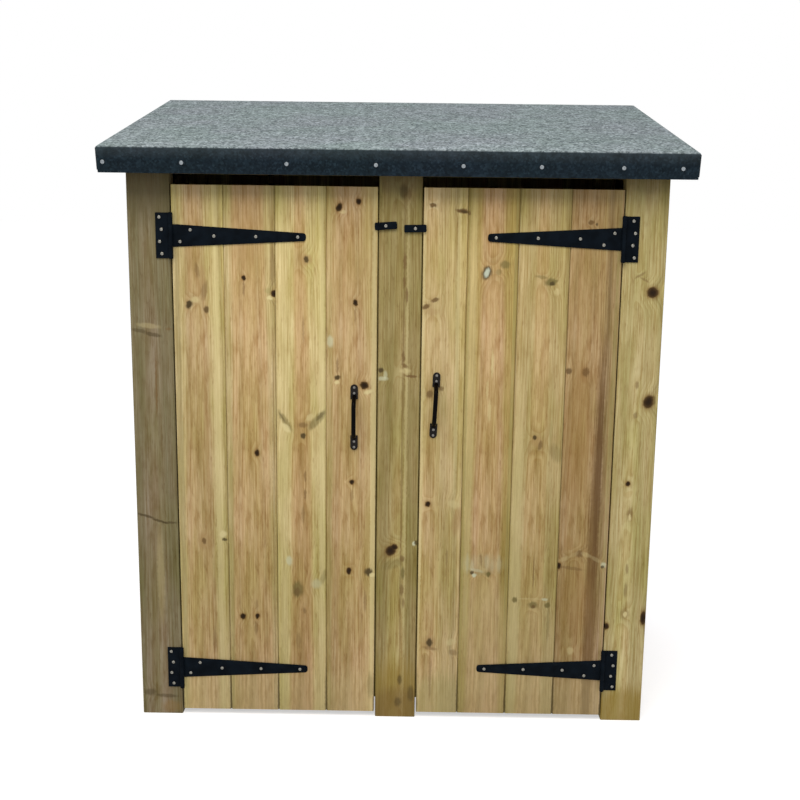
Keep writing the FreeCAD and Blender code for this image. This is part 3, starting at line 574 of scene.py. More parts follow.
def mineral_felt(name):
    """Bitumen felt faced with crushed slate: dark grains in black bitumen. Where it lies flat it is painted
    grey, a painted sheen of the sky, and where it is folded down it is painted blue-black, a painted shade;
    the fold's upper part is painted part way to the grey, a painted highlight, and the flat is made lighter
    towards its front edge. The grains are drawn coarser than their 1 mm, to show at all."""
    grit, mottle, cloud = 4.4, 24.0, 190.0
    fold_highlight_reach, front_lift_reach = 28.0, 160.0
    material, tree = new_material(name)
    coords = add(tree, "TexCoord", {})
    spot = coords.outputs["Object"]
    grit_at = add(tree, "Mapping", {"Vector": spot, "Scale": (grit * MM,) * 3}, vector_type="TEXTURE")
    grains = add(tree, "TexVoronoi", {"Vector": grit_at, "Scale": 1.0})
    mottle_at = add(tree, "Mapping", {"Vector": spot, "Scale": (mottle * MM,) * 3}, vector_type="TEXTURE")
    mottling = add(tree, "TexNoise", {"Vector": mottle_at, "Scale": 1.0, "Detail": 4.0, "Roughness": 0.7})
    cloud_at = add(tree, "Mapping", {"Vector": spot, "Scale": (cloud * MM,) * 3}, vector_type="TEXTURE")
    clouds = add(tree, "TexNoise", {"Vector": cloud_at, "Scale": 1.0, "Detail": 2.0})
    # The flat top's ramp is painted light grey, a painted sheen of the sky; the folded edge's ramp below is
    # painted blue-black, a painted shade.
    sky_lit_top = add(tree, "ValToRGB", {"Fac": grains.outputs["Color"]},
                    stops=[(0.15, "#5f676b"), (0.9, "#b4bdc0"), (0.5, "#8d979a")])
    folded = add(tree, "ValToRGB", {"Fac": grains.outputs["Color"]},
                 stops=[(0.3, "#18242d"), (0.9, "#2a3943"), (0.6, "#1f2d37")])
    facing = add(tree, "VectorMath", {0: coords.outputs["Normal"], 1: SLOPE_UP}, operation="DOT_PRODUCT")
    flat = add(tree, "MapRange", {"Value": facing.outputs["Value"], "From Min": 0.3, "From Max": 1.0},
               interpolation_type="SMOOTHSTEP")
    height = add(tree, "VectorMath", {0: spot, 1: SLOPE_UP}, operation="DOT_PRODUCT").outputs["Value"]
    top = ROOF_EDGE.dot(SLOPE_UP)
    # The fold's upper part is painted part way to the grey: a painted highlight along the rounded fold.
    fold_highlight = add(tree, "MapRange", {"Value": height, "From Min": top - fold_highlight_reach * MM, "From Max": top,
                                  "To Max": 0.16})
    folded = add(tree, "MixRGB", {"Fac": fold_highlight, "Color1": folded, "Color2": linear("#8d979a")})
    # The flat top is made lighter towards its front edge.
    back = add(tree, "VectorMath", {0: spot, 1: UP_SLOPE}, operation="DOT_PRODUCT").outputs["Value"]
    edge = ROOF_EDGE.dot(UP_SLOPE)
    front_lift = add(tree, "MapRange", {"Value": back, "From Min": edge, "From Max": edge + front_lift_reach * MM,
                                    "To Min": 1.13, "To Max": 1.0}, interpolation_type="SMOOTHSTEP")
    sky_lit_top = add(tree, "VectorMath", {0: sky_lit_top, "Scale": front_lift}, operation="SCALE")
    # Mixing by facing makes the top look lit and the fold look shaded: painted light and shade.
    tone = add(tree, "MixRGB", {"Fac": flat, "Color1": folded, "Color2": sky_lit_top})
    patchy = add(tree, "ValToRGB", {"Fac": mottling}, stops=[(0.3, "#b4b8b4"), (0.7, "#ffffff")])
    tone = add(tree, "MixRGB", {"Fac": 1.0, "Color1": tone, "Color2": patchy}, blend_type="MULTIPLY")
    cast = add(tree, "ValToRGB", {"Fac": clouds}, stops=[(0.35, "#e9f0ed"), (0.65, "#f0eff3")])
    tone = add(tree, "MixRGB", {"Fac": 1.0, "Color1": tone, "Color2": cast}, blend_type="MULTIPLY")
    bump = add(tree, "Bump", {"Height": grains.outputs["Distance"], "Strength": 0.5, "Distance": 0.8 * MM})
    surface = add(tree, "BsdfPrincipled", {"Base Color": tone, "Roughness": 0.8, "Normal": bump,
                                           "Specular IOR Level": 0.1})
    add(tree, "OutputMaterial", {"Surface": surface})
    return material


half_width = felt_high.x
felt = block("roof_felt_sheet", Vector((-half_width, 0, -ROOF_THICK)), Vector((half_width, ROOF_LENGTH, 0)))
pick(felt, "FACE", lambda middle, normal: normal.z < -0.9)
bpy.ops.mesh.delete(type="FACE")
pick(felt, "EDGE", lambda middle, way: abs(way.z) > 0.9)
bpy.ops.mesh.bevel(offset=FELT_CORNER, segments=3, affect="EDGES")
pick(felt, "EDGE", lambda middle, way: abs(way.z) < 0.1 and middle.z > -TINY)
bpy.ops.mesh.bevel(offset=FELT_FOLD, segments=4, affect="EDGES")
pick(felt, "FACE", lambda middle, normal: max(abs(normal.x), abs(normal.y), normal.z) > 0.999)
bpy.ops.mesh.subdivide(number_cuts=FELT_CUTS)
bpy.ops.object.mode_set(mode="OBJECT")
uneven = bpy.data.textures.new("felt_unevenness", "CLOUDS")
uneven.noise_scale = FELT_WAVE
buckle = felt.modifiers.new("buckle", "DISPLACE")
buckle.texture = uneven
buckle.texture_coords = "LOCAL"
buckle.strength = FELT_UNEVEN
buckle.mid_level = 1.0
bpy.ops.object.modifier_apply(modifier=buckle.name)
sheet = felt.modifiers.new("sheet", "SOLIDIFY")
sheet.thickness = FELT_THICK
sheet.offset = -1
bpy.ops.object.modifier_apply(modifier=sheet.name)
bpy.ops.object.shade_smooth_by_angle(angle=SMOOTH_TO)
flaps = []
for side in (-1, 1):
    for front in (True, False):
        start = FELT_CORNER if front else ROOF_LENGTH - FELT_CORNER - FLAP_LONG
        faces = sorted((side * (half_width - FELT_UNEVEN), side * (half_width + FLAP_THICK)))
        flap = block("felt_flap", Vector((faces[0], start, FELT_FOLD - ROOF_THICK)),
                     Vector((faces[1], start + FLAP_LONG, -FELT_FOLD)))
        fold_end = start + FLAP_LONG if front else start
        pick(flap, "EDGE", lambda middle, way: (abs(way.x) > 0.9 and abs(middle.y - fold_end) < TINY
                                                and middle.z > -ROOF_THICK / 2))
        bpy.ops.mesh.bevel(offset=FLAP_CUT, segments=1, affect="EDGES")
        ease(flap, FLAP_THICK / 2)
        flaps.append(flap)
felt = joined([felt] + flaps, "roof_felt_sheet")
felt.data.materials.append(mineral_felt("slate_faced_felt"))
set_down(felt, X, UP_SLOPE, SLOPE_UP, ROOF_EDGE)
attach(felt, "carcass")
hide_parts("roof_felt")


# Clout nails: galvanised nails with broad flat heads, driven through the felt's folded edge into the
# battens. One head is turned with a low crown, then a copy is set at every nail of the frame.
NAIL_HEAD, NAIL_HEAD_THICK, NAIL_CROWN = 9 * MM, 1.2 * MM, 0.72 * MM
NAIL_SIDES = 20
STUB_LONG, STUB_INSET = 3 * MM, 0.28
HEAD_SMOOTH_TO = math.radians(35)


def zinc(name, colour, rough, rim):
    """Zinc plate on steel: a bright, slightly cloudy metal whose crystals vary its gloss. Away from the flat
    of the head, on its rim and in its recess, it is painted darker down to the rim's level: painted shade."""
    spangle = 1.6
    material, tree = new_material(name)
    coords = add(tree, "TexCoord", {})
    spot = coords.outputs["Object"]
    at = add(tree, "Mapping", {"Vector": spot, "Scale": (spangle * MM,) * 3}, vector_type="TEXTURE")
    cloudy = add(tree, "TexNoise", {"Vector": at, "Scale": 1.0, "Detail": 3.0})
    gloss = add(tree, "MapRange", {"Value": cloudy, "To Min": rough - 0.12, "To Max": rough + 0.16})
    tone = add(tree, "ValToRGB", {"Fac": cloudy}, stops=[(0.3, linear(colour, 0.5)), (0.6, colour)])
    # The rim and the recess, turned away from the flat of the head, are painted darker: painted shade.
    facing = add(tree, "VectorMath", {0: coords.outputs["Normal"], 1: -Y}, operation="DOT_PRODUCT")
    rim_shade = add(tree, "MapRange", {"Value": facing.outputs["Value"], "From Min": 0.6, "From Max": 0.97,
                                   "To Min": rim})
    tone = add(tree, "VectorMath", {0: tone, "Scale": rim_shade}, operation="SCALE")
    surface = add(tree, "BsdfPrincipled", {"Base Color": tone, "Metallic": 1.0, "Roughness": gloss})
    add(tree, "OutputMaterial", {"Surface": surface})
    return material


def round_head(name, head, height, crown, sides):
    """A round head at the origin with its seat on Y = 0 and its crown to -Y, on a short stub."""
    bpy.ops.object.select_all(action="DESELECT")
    bpy.ops.mesh.primitive_cylinder_add(vertices=sides, radius=head / 2, depth=height,
                                        location=(0, -height / 2, 0), rotation=(math.pi / 2, 0, 0))
    piece = bpy.context.object
    piece.name = name
    bpy.ops.object.transform_apply(location=True, rotation=True, scale=True)
    bpy.ops.object.mode_set(mode="EDIT")
    pick(piece, "EDGE", lambda middle, way: middle.y < -height + TINY)
    bpy.ops.mesh.bevel(offset=crown, segments=3, affect="EDGES")
    pick(piece, "FACE", lambda middle, normal: normal.y > 0.9)
    bpy.ops.mesh.inset(thickness=head * STUB_INSET)
    bpy.ops.mesh.extrude_region_move(TRANSFORM_OT_translate={"value": (0, STUB_LONG, 0)})
    bpy.ops.object.mode_set(mode="OBJECT")
    bpy.ops.object.shade_smooth_by_angle(angle=HEAD_SMOOTH_TO)
    return piece


def copies_at(master, name, places):
    """A copy of one fastener at each place, each with its own mesh, made into one piece. The first goes."""
    made = []
    for crown, across, inward, along, height in places:
        piece = master.copy()
        piece.data = master.data.copy()
        bpy.context.scene.collection.objects.link(piece)
        spin = Matrix.Rotation(draw.uniform(0, math.tau), 3, inward)
        set_down(piece, spin @ across, inward, spin @ along, crown + inward * height)
        made.append(piece)
    bpy.data.objects.remove(master)
    return joined(made, name)


def nail_way(points):
    """The way a nail is driven: inwards from whichever edge of the roof its solid lies at."""
    low, high = corners(points)
    if high.x - low.x > high.y - low.y:
        return X if low.x < 0 else -X
    return UP_SLOPE if low.y < 0 else -UP_SLOPE


nail_places = []
for points in solids_of("felt_nails"):
    inward = nail_way(points)
    crown = min(points, key=lambda point: point.dot(inward))
    across = inward.cross(SLOPE_UP)
    nail_places.append((crown, across, inward, SLOPE_UP, NAIL_HEAD_THICK))
nail = round_head("clout_nail", NAIL_HEAD, NAIL_HEAD_THICK, NAIL_CROWN, NAIL_SIDES)
nails = copies_at(nail, "felt_nails_galvanised", nail_places)
nails.data.materials.append(zinc("galvanised_nail", "#9ca3a7", 0.45, 0.7))
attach(nails, "carcass")
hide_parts("felt_nails")


# Door boards: four planed tongue-and-groove boards to each door, V-jointed on the face and screwed to the
# ledges. Each is its own piece of pine, with heartwood, knots and pale streaks where that board has them.
BOARD_PITH_BEHIND = 32
# The third tone of the next line is painted shade, put beside the gap at a door's hinge edge.
UMBER, PEAT, HINGE_GAP_SHADE, SILVERED, RUSSET = "#5c492b", "#4c3e24", "#978a62", "#b6bda8", "#5f4529"
BARK, COPPER, COCOA, WALNUT, GINGER = "#543b22", "#8b6a40", "#523c22", "#5d4325", "#8f6c40"
# Every board is painted darker grey at its head, a painted shade under the roof's eave, and bleached at its
# foot, and damp darkens its joints low down.
HEAD_AND_FOOT = [(56, 1256, 170, 76, 0, EAVE_SHADE, 0.2), (56, 40, 170, 150, 0, PALE, 0.2)]
JOINT_DAMP = (6, 230, 0, DARK, 0.5)
door_boards = {
    "left_door_board_1": dict(
        sapwood="#d4c392", heartwood="#ceb58c", heart=(54, 34),
        knots=[],
        patches=[(35, 984, 13, 19, 20, DARK, 0.95), (73, 973, 12, 16, 0, UMBER, 0.9),
                 (48, 995, 18, 13, 0, PALE, 0.5), (54, 1060, 10, 32, -8, BROWN, 0.45),
                 (70, 1016, 14, 40, 10, BROWN, 0.45), (62, 1036, 22, 70, 0, TAN, 0.4),
                 (57, 433, 9, 15, 0, BROWN, 0.85), (57, 433, 30, 44, 0, TAN, 0.5),
                 (101, 450, 16, 16, 0, PALE, 0.85), (105, 437, 11, 7, 0, DARK, 0.8),
                 # The grey strip along this board's left edge, next to the post, is painted shade from the
                 # gap beside it.
                 (95, 650, 16, 1300, 0, PALE, 0.5), (8, 650, 14, 1300, 0, HINGE_GAP_SHADE, 0.5),
                 (77, 190, 9, 60, 0, BROWN, 0.35), (66, 620, 10, 500, 0, TAN, 0.3)],
    ),
    "left_door_board_2": dict(
        sapwood="#d1be92", heartwood="#d0b58b", heart=(60, 46),
        knots=[(44, 1045, 9, 12, 0), (111, 1011, 12, 16, 0), (69, 645, 11, 16, 0), (31, 249, 12, 14, 0),
               (65, 250, 9, 14, 0)],
        patches=[(102, 1001, 14, 9, 0, PALE, 0.85), (98, 1017, 14, 12, 0, DAMP, 0.4),
                 (44, 1022, 5, 34, 0, BROWN, 0.5), (108, 1070, 10, 90, 0, BROWN, 0.4),
                 (62, 222, 8, 34, 0, BROWN, 0.4), (64, 276, 7, 30, 0, BROWN, 0.35),
                 (107, 500, 6, 950, 0, BROWN, 0.3), (7, 640, 12, 1250, 0, DAMP, 0.3),
                 (50, 1150, 80, 170, 0, TAN, 0.35)],
    ),
    "left_door_board_3": dict(
        sapwood="#d9c995", heartwood="#ccad84", heart=(61, 24),
        knots=[],
        patches=[(61, 687, 12, 14, 0, DARK, 0.9), (69, 1087, 24, 24, 0, TAN, 0.6),
                 (69, 1087, 11, 15, 0, PEAT, 0.95), (20, 721, 54, 13, 56, OLIVE, 0.55),
                 (92, 723, 56, 17, -49, OLIVE, 0.6), (14, 729, 24, 5, 56, DARK, 0.4),
                 (100, 733, 26, 8, -49, DARK, 0.45), (61, 712, 20, 13, 0, BROWN, 0.6),
                 (22, 705, 26, 12, 50, PALE, 0.8), (76, 730, 20, 12, -45, PALE, 0.4),
                 (47, 318, 26, 38, 0, OLIVE, 0.75), (46, 312, 14, 20, 0, BROWN, 0.6),
                 (63, 265, 8, 14, 0, BROWN, 0.5), (108, 350, 13, 40, 20, OLIVE, 0.4),
                 (90, 332, 22, 22, 0, BLOOM, 0.35), (27, 388, 14, 22, 0, BLOOM, 0.55),
                 (65, 548, 6, 26, 0, BROWN, 0.6), (65, 592, 6, 24, 0, BROWN, 0.5),
                 (62, 930, 5, 60, 0, BROWN, 0.35), (60, 500, 7, 40, 0, BROWN, 0.4),
                 (104, 620, 13, 1250, 0, PALE, 0.5), (15, 620, 18, 1250, 0, PALE, 0.3),
                 (48, 190, 12, 40, 0, BROWN, 0.35)],
    ),
    "left_door_board_4": dict(
        sapwood="#c9b285", heartwood="#c9af87", heart=(56, 40),
        knots=[(28, 1202, 12, 19, 25), (71, 1215, 12, 14, 0), (65, 993, 11, 14, 0), (86, 806, 19, 17, 15),
               (59, 580, 11, 11, 0), (53, 365, 11, 17, 0)],
        patches=[(25, 823, 13, 11, 0, DARK, 0.95), (99, 363, 18, 18, 40, DARK, 0.9),
                 (36, 1192, 14, 8, 0, PALE, 0.5), (9, 905, 14, 24, 0, BLOOM, 0.5),
                 (25, 850, 6, 36, 0, BROWN, 0.55), (24, 812, 12, 8, 0, PALE, 0.7),
                 (95, 791, 18, 10, -20, PALE, 0.75), (59, 548, 8, 30, 0, BROWN, 0.4),
                 (65, 965, 5, 40, 0, BROWN, 0.35), (107, 356, 12, 10, 0, PALE, 0.85),
                 (91, 290, 8, 50, 0, BROWN, 0.4), (107, 620, 12, 1300, 0, PALE, 0.55),
                 (26, 560, 7, 900, 0, TAN, 0.3), (104, 80, 14, 60, 0, OLIVE, 0.4),
                 (8, 620, 12, 1200, 0, DAMP, 0.25)],
    ),
    "right_door_board_4": dict(
        sapwood="#d3bf91", heartwood="#d2b88f", heart=(26, 18),
        knots=[(20, 530, 12, 14, 0)],
        patches=[(20, 788, 14, 18, 20, BROWN, 0.75), (45, 801, 13, 11, 0, BROWN, 0.7),
                 (29, 190, 14, 20, 0, DARK, 0.9), (20, 1209, 14, 9, 0, BROWN, 0.9),
                 (85, 1197, 29, 10, 6, BROWN, 0.95), (88, 1196, 16, 5, 6, DARK, 0.7),
                 (8, 986, 17, 10, -30, BROWN, 0.9), (28, 1001, 18, 9, -20, BROWN, 0.85),
                 (20, 975, 30, 16, 0, TAN, 0.4), (87, 490, 22, 70, 10, TAN, 0.6),
                 (80, 530, 30, 18, 20, PALE, 0.4), (30, 176, 34, 8, 10, BROWN, 0.45),
                 (29, 190, 30, 36, 0, TAN, 0.5), (80, 192, 24, 15, -20, PALE, 0.5),
                 (86, 166, 20, 14, 20, BROWN, 0.4), (32, 100, 6, 100, 0, BROWN, 0.35),
                 (3, 640, 6, 1200, 0, PALE, 0.5), (80, 900, 9, 800, 0, PALE, 0.4),
                 (66, 400, 5, 40, 0, BROWN, 0.35), (50, 40, 140, 130, 0, DAMP, 0.4)],
    ),
    "right_door_board_3": dict(
        sapwood="#baa46c", heartwood="#ceb189", heart=(63, 36),
        knots=[],
        patches=[(44, 1063, 20, 29, 20, DARK, 0.95), (44, 1063, 11, 19, 20, SILVERED, 0.95),
                 (56, 1045, 18, 40, 0, TAN, 0.4), (84, 1081, 22, 17, 0, OLIVE, 0.7),
                 (70, 1065, 14, 13, -30, OLIVE, 0.45), (16, 388, 8, 44, 0, BLOOM, 0.2),
                 (50, 386, 96, 46, 0, BLOOM, 0.13), (28, 380, 9, 30, 0, BLOOM, 0.25),
                 (62, 392, 10, 34, 0, BLOOM, 0.2), (74, 382, 8, 26, 0, BLOOM, 0.15),
                 (38, 371, 34, 7, 12, BLOOM, 0.3), (48, 398, 5, 30, 0, BROWN, 0.4),
                 (90, 388, 8, 44, 0, BLOOM, 0.2), (27, 365, 9, 10, 0, DARK, 0.85),
                 (33, 359, 10, 8, 0, BLOOM, 0.9), (66, 362, 10, 13, 0, OLIVE, 0.95),
                 (48, 364, 40, 9, 0, OLIVE, 0.2), (14, 760, 20, 1100, 0, PALE, 0.35),
                 (4, 620, 7, 1200, 0, DAMP, 0.4), (108, 700, 8, 1200, 0, DAMP, 0.4),
                 (2, 1193, 6, 10, 0, BROWN, 0.8), (62, 860, 6, 60, 0, PALE, 0.5),
                 (58, 750, 7, 50, 0, PALE, 0.45), (52, 800, 6, 40, 0, PALE, 0.35),
                 (60, 210, 120, 280, 0, PALE, 0.22)],
    ),
    "right_door_board_2": dict(
        sapwood="#c1af80", heartwood="#cab186", heart=(60, 24),
        knots=[],
        patches=[(72, 1044, 24, 17, -10, OLIVE, 0.9), (76, 1041, 11, 10, 0, DARK, 0.8),
                 (52, 1055, 26, 7, 10, OLIVE, 0.5), (84, 1046, 12, 6, -30, OLIVE, 0.6),
                 (87, 1023, 13, 15, 0, PALE, 0.35), (49, 690, 10, 10, 0, DARK, 0.9),
                 (62, 672, 9, 24, 12, BROWN, 0.7), (54, 682, 24, 26, 0, TAN, 0.5),
                 (98, 655, 26, 44, -20, OLIVE, 0.35), (86, 700, 8, 60, 0, DAMP, 0.3),
                 (16, 300, 10, 14, 0, OLIVE, 0.85), (59, 288, 20, 17, 0, OLIVE, 0.75),
                 (60, 284, 10, 9, 0, BROWN, 0.8), (93, 288, 13, 13, 0, OLIVE, 0.85),
                 (86, 302, 14, 6, 0, BLOOM, 0.6), (50, 303, 60, 5, 0, PALE, 0.22),
                 (58, 365, 4, 80, 0, BROWN, 0.5), (14, 400, 24, 800, 0, PALE, 0.4),
                 (62, 880, 8, 340, 0, TAN, 0.35), (96, 250, 6, 120, 0, OLIVE, 0.35),
                 (60, 180, 120, 240, 0, PALE, 0.14)],
    ),
    "right_door_board_1": dict(
        sapwood="#af9776", heartwood="#b49b74", heart=(40, 58),
        knots=[(3, 385, 8, 16, 0)],
        patches=[(80, 330, 26, 1100, 0, RUSSET, 0.68), (84, 620, 14, 520, 0, BARK, 0.5),
                 (90, 1000, 6, 240, 0, BROWN, 0.4), (45, 838, 24, 40, 0, COPPER, 0.5),
                 (43, 1176, 14, 10, 0, BROWN, 0.9), (7, 845, 13, 15, 0, COCOA, 0.75),
                 (45, 843, 15, 20, 0, WALNUT, 0.7), (32, 690, 58, 330, 0, GINGER, 0.35),
                 (49, 415, 16, 16, 0, BROWN, 0.8), (14, 402, 26, 10, -24, PALE, 0.2),
                 (35, 412, 24, 9, -30, PALE, 0.15), (64, 413, 24, 10, 22, PALE, 0.2),
                 (88, 402, 26, 9, 30, PALE, 0.17), (106, 389, 12, 13, 0, BLOOM, 0.6),
                 (104, 384, 8, 8, 0, DARK, 0.8), (30, 380, 60, 8, 8, BROWN, 0.45),
                 (42, 300, 70, 170, 0, GINGER, 0.3), (37, 175, 14, 20, 0, PALE, 0.4),
                 (107, 700, 9, 1200, 0, DAMP, 0.35), (22, 440, 20, 40, 0, GINGER, 0.4),
                 (55, 1172, 6, 7, 0, DARK, 0.7)],
    ),
}
for node, look in door_boards.items():
    low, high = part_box(node)
    side, number = node.split("_")[0], int(node[-1])
    from_hinge = ["square" if number == 1 else "groove", "square" if number == 4 else "tongue"]
    kinds = from_hinge if side == "left" else from_hinge[::-1]
    left = low.x + (TONGUE_DEPTH if kinds[0] == "tongue" else 0)
    width = high.x - low.x - TONGUE_DEPTH * kinds.count("tongue")
    board = planed_board(node + "_planed", width, high.z - low.z, *kinds)
    set_down(board, X, Y, Z, Vector((left, low.y, low.z)))
    heart_at, heart_half = look["heart"]
    pith = on_front(left, heart_at, 0) + Y * BOARD_PITH_BEHIND * MM
    radius = math.hypot(heart_half, BOARD_PITH_BEHIND)
    damp_joints = [(edge, 0, *JOINT_DAMP) for edge in (0, width / MM)]
    stains = look["patches"] + HEAD_AND_FOOT + damp_joints
    pine = treated_pine(node + "_pine", look["sapwood"], look["heartwood"], pith, radius,
                        marks(left, look["knots"]), marks(left, stains))
    board.data.materials.append(pine)
    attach(board, side + "_door")
    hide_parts(node)


# Ledges, braces and door stops: sawn treated pine on the inside, screwed to the back of the boards and the
# post. The ledges take the hinges' screws and the braces carry the door's free edge down to its hinges.
BRACE_LEAN = 0.75
for side, lean in (("left", BRACE_LEAN), ("right", -BRACE_LEAN)):
    wear(side + "_door_ledges", inner_timber(side + "_door_ledges", ALONG_X, Vector((0, 34, 20))))
    wear(side + "_door_braces", inner_timber(side + "_door_braces", (0, lean, 0), Vector((0, 34, 0))))
wear("door_stops", inner_timber("door_stops", UPRIGHT, Vector((20, 34, 0))))


# Tee hinges: two stamped steel leaves rolled round a pin, the short plate on the post, the long strap on the
# door. They are stove-enamelled black. A right-hand hinge is the same hinge turned half round.
PLATE_WIDTH, PLATE_HEIGHT = 34 * MM, 100 * MM
STRAP_LENGTH, STRAP_ROOT, STRAP_TIP = 298 * MM, 50 * MM, 17 * MM
LEAF_THICK, LEAF_ARRIS = 2 * MM, 0.5 * MM
BARREL, BARREL_LIFT = 10 * MM, 0.4 * MM
AXIS_LIFT = BARREL / 2 + BARREL_LIFT
KNUCKLE_GAP = 0.3 * MM
ROLL = math.radians(310)
ROLL_STEPS = 14
TIP_ROUND = 6 * MM


def black_enamel(name, colour, rough, sheen):
    """Stove enamel on steel: near black with a low cool sheen and a faint orange-peel surface."""
    peel, cloud = 1.8, 26.0
    material, tree = new_material(name)
    spot = add(tree, "TexCoord", {}).outputs["Object"]
    peel_at = add(tree, "Mapping", {"Vector": spot, "Scale": (peel * MM,) * 3}, vector_type="TEXTURE")
    dimple = add(tree, "TexNoise", {"Vector": peel_at, "Scale": 1.0, "Detail": 2.0})
    cloud_at = add(tree, "Mapping", {"Vector": spot, "Scale": (cloud * MM,) * 3}, vector_type="TEXTURE")
    cloudy = add(tree, "TexNoise", {"Vector": cloud_at, "Scale": 1.0, "Detail": 3.0})
    tone = add(tree, "ValToRGB", {"Fac": cloudy}, stops=[(0.35, linear(colour, 0.5)), (0.65, colour)])
    gloss = add(tree, "MapRange", {"Value": cloudy, "To Min": rough - 0.1, "To Max": rough + 0.14})
    bump = add(tree, "Bump", {"Height": dimple, "Strength": 0.25, "Distance": 0.15 * MM})
    surface = add(tree, "BsdfPrincipled", {"Base Color": tone, "Roughness": gloss, "Normal": bump,
                                           "Specular IOR Level": sheen})
    add(tree, "OutputMaterial", {"Surface": surface})
    return material


def roll_knuckle(piece, outward, wanted):
    """Bends the picked end faces of a leaf forward and rolls them round the pin."""
    pick(piece, "FACE", wanted)
    reach = AXIS_LIFT + BARREL_LIFT
    bpy.ops.mesh.extrude_region_move(TRANSFORM_OT_translate={"value": (outward * reach, -BARREL_LIFT, 0)})
    bpy.ops.mesh.spin(steps=ROLL_STEPS, angle=outward * ROLL, center=(0, -AXIS_LIFT, 0), axis=(0, 0, 1))


def hinge_plate(name):
    """The post's leaf, with its pin on the Z axis' front and the wood's face on Y = 0."""
    end, notch = PLATE_HEIGHT / 2, STRAP_ROOT / 2 + KNUCKLE_GAP
    inner = -AXIS_LIFT - BARREL_LIFT
    leaf = block(name, Vector((-PLATE_WIDTH, -LEAF_THICK, -end)), Vector((inner, 0, end)))
    for height in (-notch, notch):
        bpy.ops.mesh.select_all(action="SELECT")
        bpy.ops.mesh.bisect(plane_co=(0, 0, height), plane_no=(0, 0, 1))
    roll_knuckle(leaf, 1, lambda middle, normal: normal.x > 0.9 and abs(middle.z) > notch)
    return leaf


def hinge_strap(name):
    """The door's leaf: a long taper with a rounded tip, rolled round the pin at its root."""
    inner = AXIS_LIFT + BARREL_LIFT
    root = STRAP_ROOT / 2
    leaf = block(name, Vector((inner, -LEAF_THICK, -root)), Vector((STRAP_LENGTH, 0, root)))
    pick(leaf, "FACE", lambda middle, normal: normal.x > 0.9)
    bpy.ops.transform.resize(value=(1, 1, STRAP_TIP / STRAP_ROOT))
    pick(leaf, "EDGE", lambda middle, way: abs(way.y) > 0.9 and middle.x > STRAP_LENGTH / 2)
    bpy.ops.mesh.bevel(offset=TIP_ROUND, segments=4, affect="EDGES")
    roll_knuckle(leaf, -1, lambda middle, normal: normal.x < -0.9)
    return leaf


hinge_enamel = black_enamel("stove_enamel", "#0d141b", 0.5, 0.03)
for name in ("left_upper", "left_lower", "right_upper", "right_lower"):
    side = name.split("_")[0]
    turned = -1 if side == "right" else 1
    low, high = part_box(name + "_hinge_plate")
    axis = low.x + PLATE_WIDTH if turned > 0 else high.x - PLATE_WIDTH
    seat = Vector((axis, high.y, (low.z + high.z) / 2))
    leaves = {
        "_hinge_plate": (hinge_plate, "carcass"),
        "_hinge_strap": (hinge_strap, side + "_door"),
    }
    for part, (make, body) in leaves.items():
        leaf = make(name + part + "_stamped")
        bpy.ops.mesh.select_all(action="SELECT")
        bpy.ops.mesh.remove_doubles(threshold=TINY)
        bpy.ops.mesh.normals_make_consistent(inside=False)
        ease(leaf, LEAF_ARRIS)
        set_down(leaf, X * turned, Y, Z * turned, seat)
        leaf.data.materials.append(hinge_enamel)
        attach(leaf, body)
        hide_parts(name + part)
wear("hinge_pins", hinge_enamel)


# Hinge screws: bright zinc-plated pan-head screws with a cross recess, four in each plate and five in each
# strap. One screw is made, its recess cut by two crossed slots, and a copy set at each screw of the frame.
SCREW_HEAD, SCREW_HEIGHT = 8 * MM, 2.2 * MM
SCREW_SIDES, SCREW_CROWN = 24, 0.75
RECESS_LONG, RECESS_WIDE, RECESS_DEEP = 4.4 * MM, 1.1 * MM, 1.2 * MM


def cross_head(name, head, height, recess):
    """A pan-head screw's head with a cross cut into its crown."""
    screw = round_head(name, head, height, height * SCREW_CROWN, SCREW_SIDES)
    for long, wide in ((recess, RECESS_WIDE), (RECESS_WIDE, recess)):
        slot = block("slot", Vector((-long / 2, -2 * height, -wide / 2)),
                     Vector((long / 2, RECESS_DEEP - height, wide / 2)))
        bpy.ops.object.mode_set(mode="OBJECT")
        cut = screw.modifiers.new("recess", "BOOLEAN")
        cut.object = slot
        cut.solver = "EXACT"
        bpy.context.view_layer.objects.active = screw
        bpy.ops.object.modifier_apply(modifier=cut.name)
        bpy.data.objects.remove(slot)
    return screw


def drive(node, head, height, recess, material, body):
    """Sets a cross-head screw at every screw of a CAD node, all driven along +Y."""
    places = []
    for points in solids_of(node):
        crown = min(points, key=lambda point: point.y)
        places.append((crown, X, Y, Z, height))
    screws = copies_at(cross_head("screw", head, height, recess), node + "_crossed", places)
    screws.data.materials.append(material)
    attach(screws, body)
    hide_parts(node)


bright_zinc = zinc("bright_zinc_plate", "#a3a198", 0.36, 0.12)
for node, body in (("hinge_plate_screws", "carcass"), ("left_hinge_strap_screws", "left_door"),
                   ("right_hinge_strap_screws", "right_door")):
    drive(node, SCREW_HEAD, SCREW_HEIGHT, RECESS_LONG, bright_zinc, body)


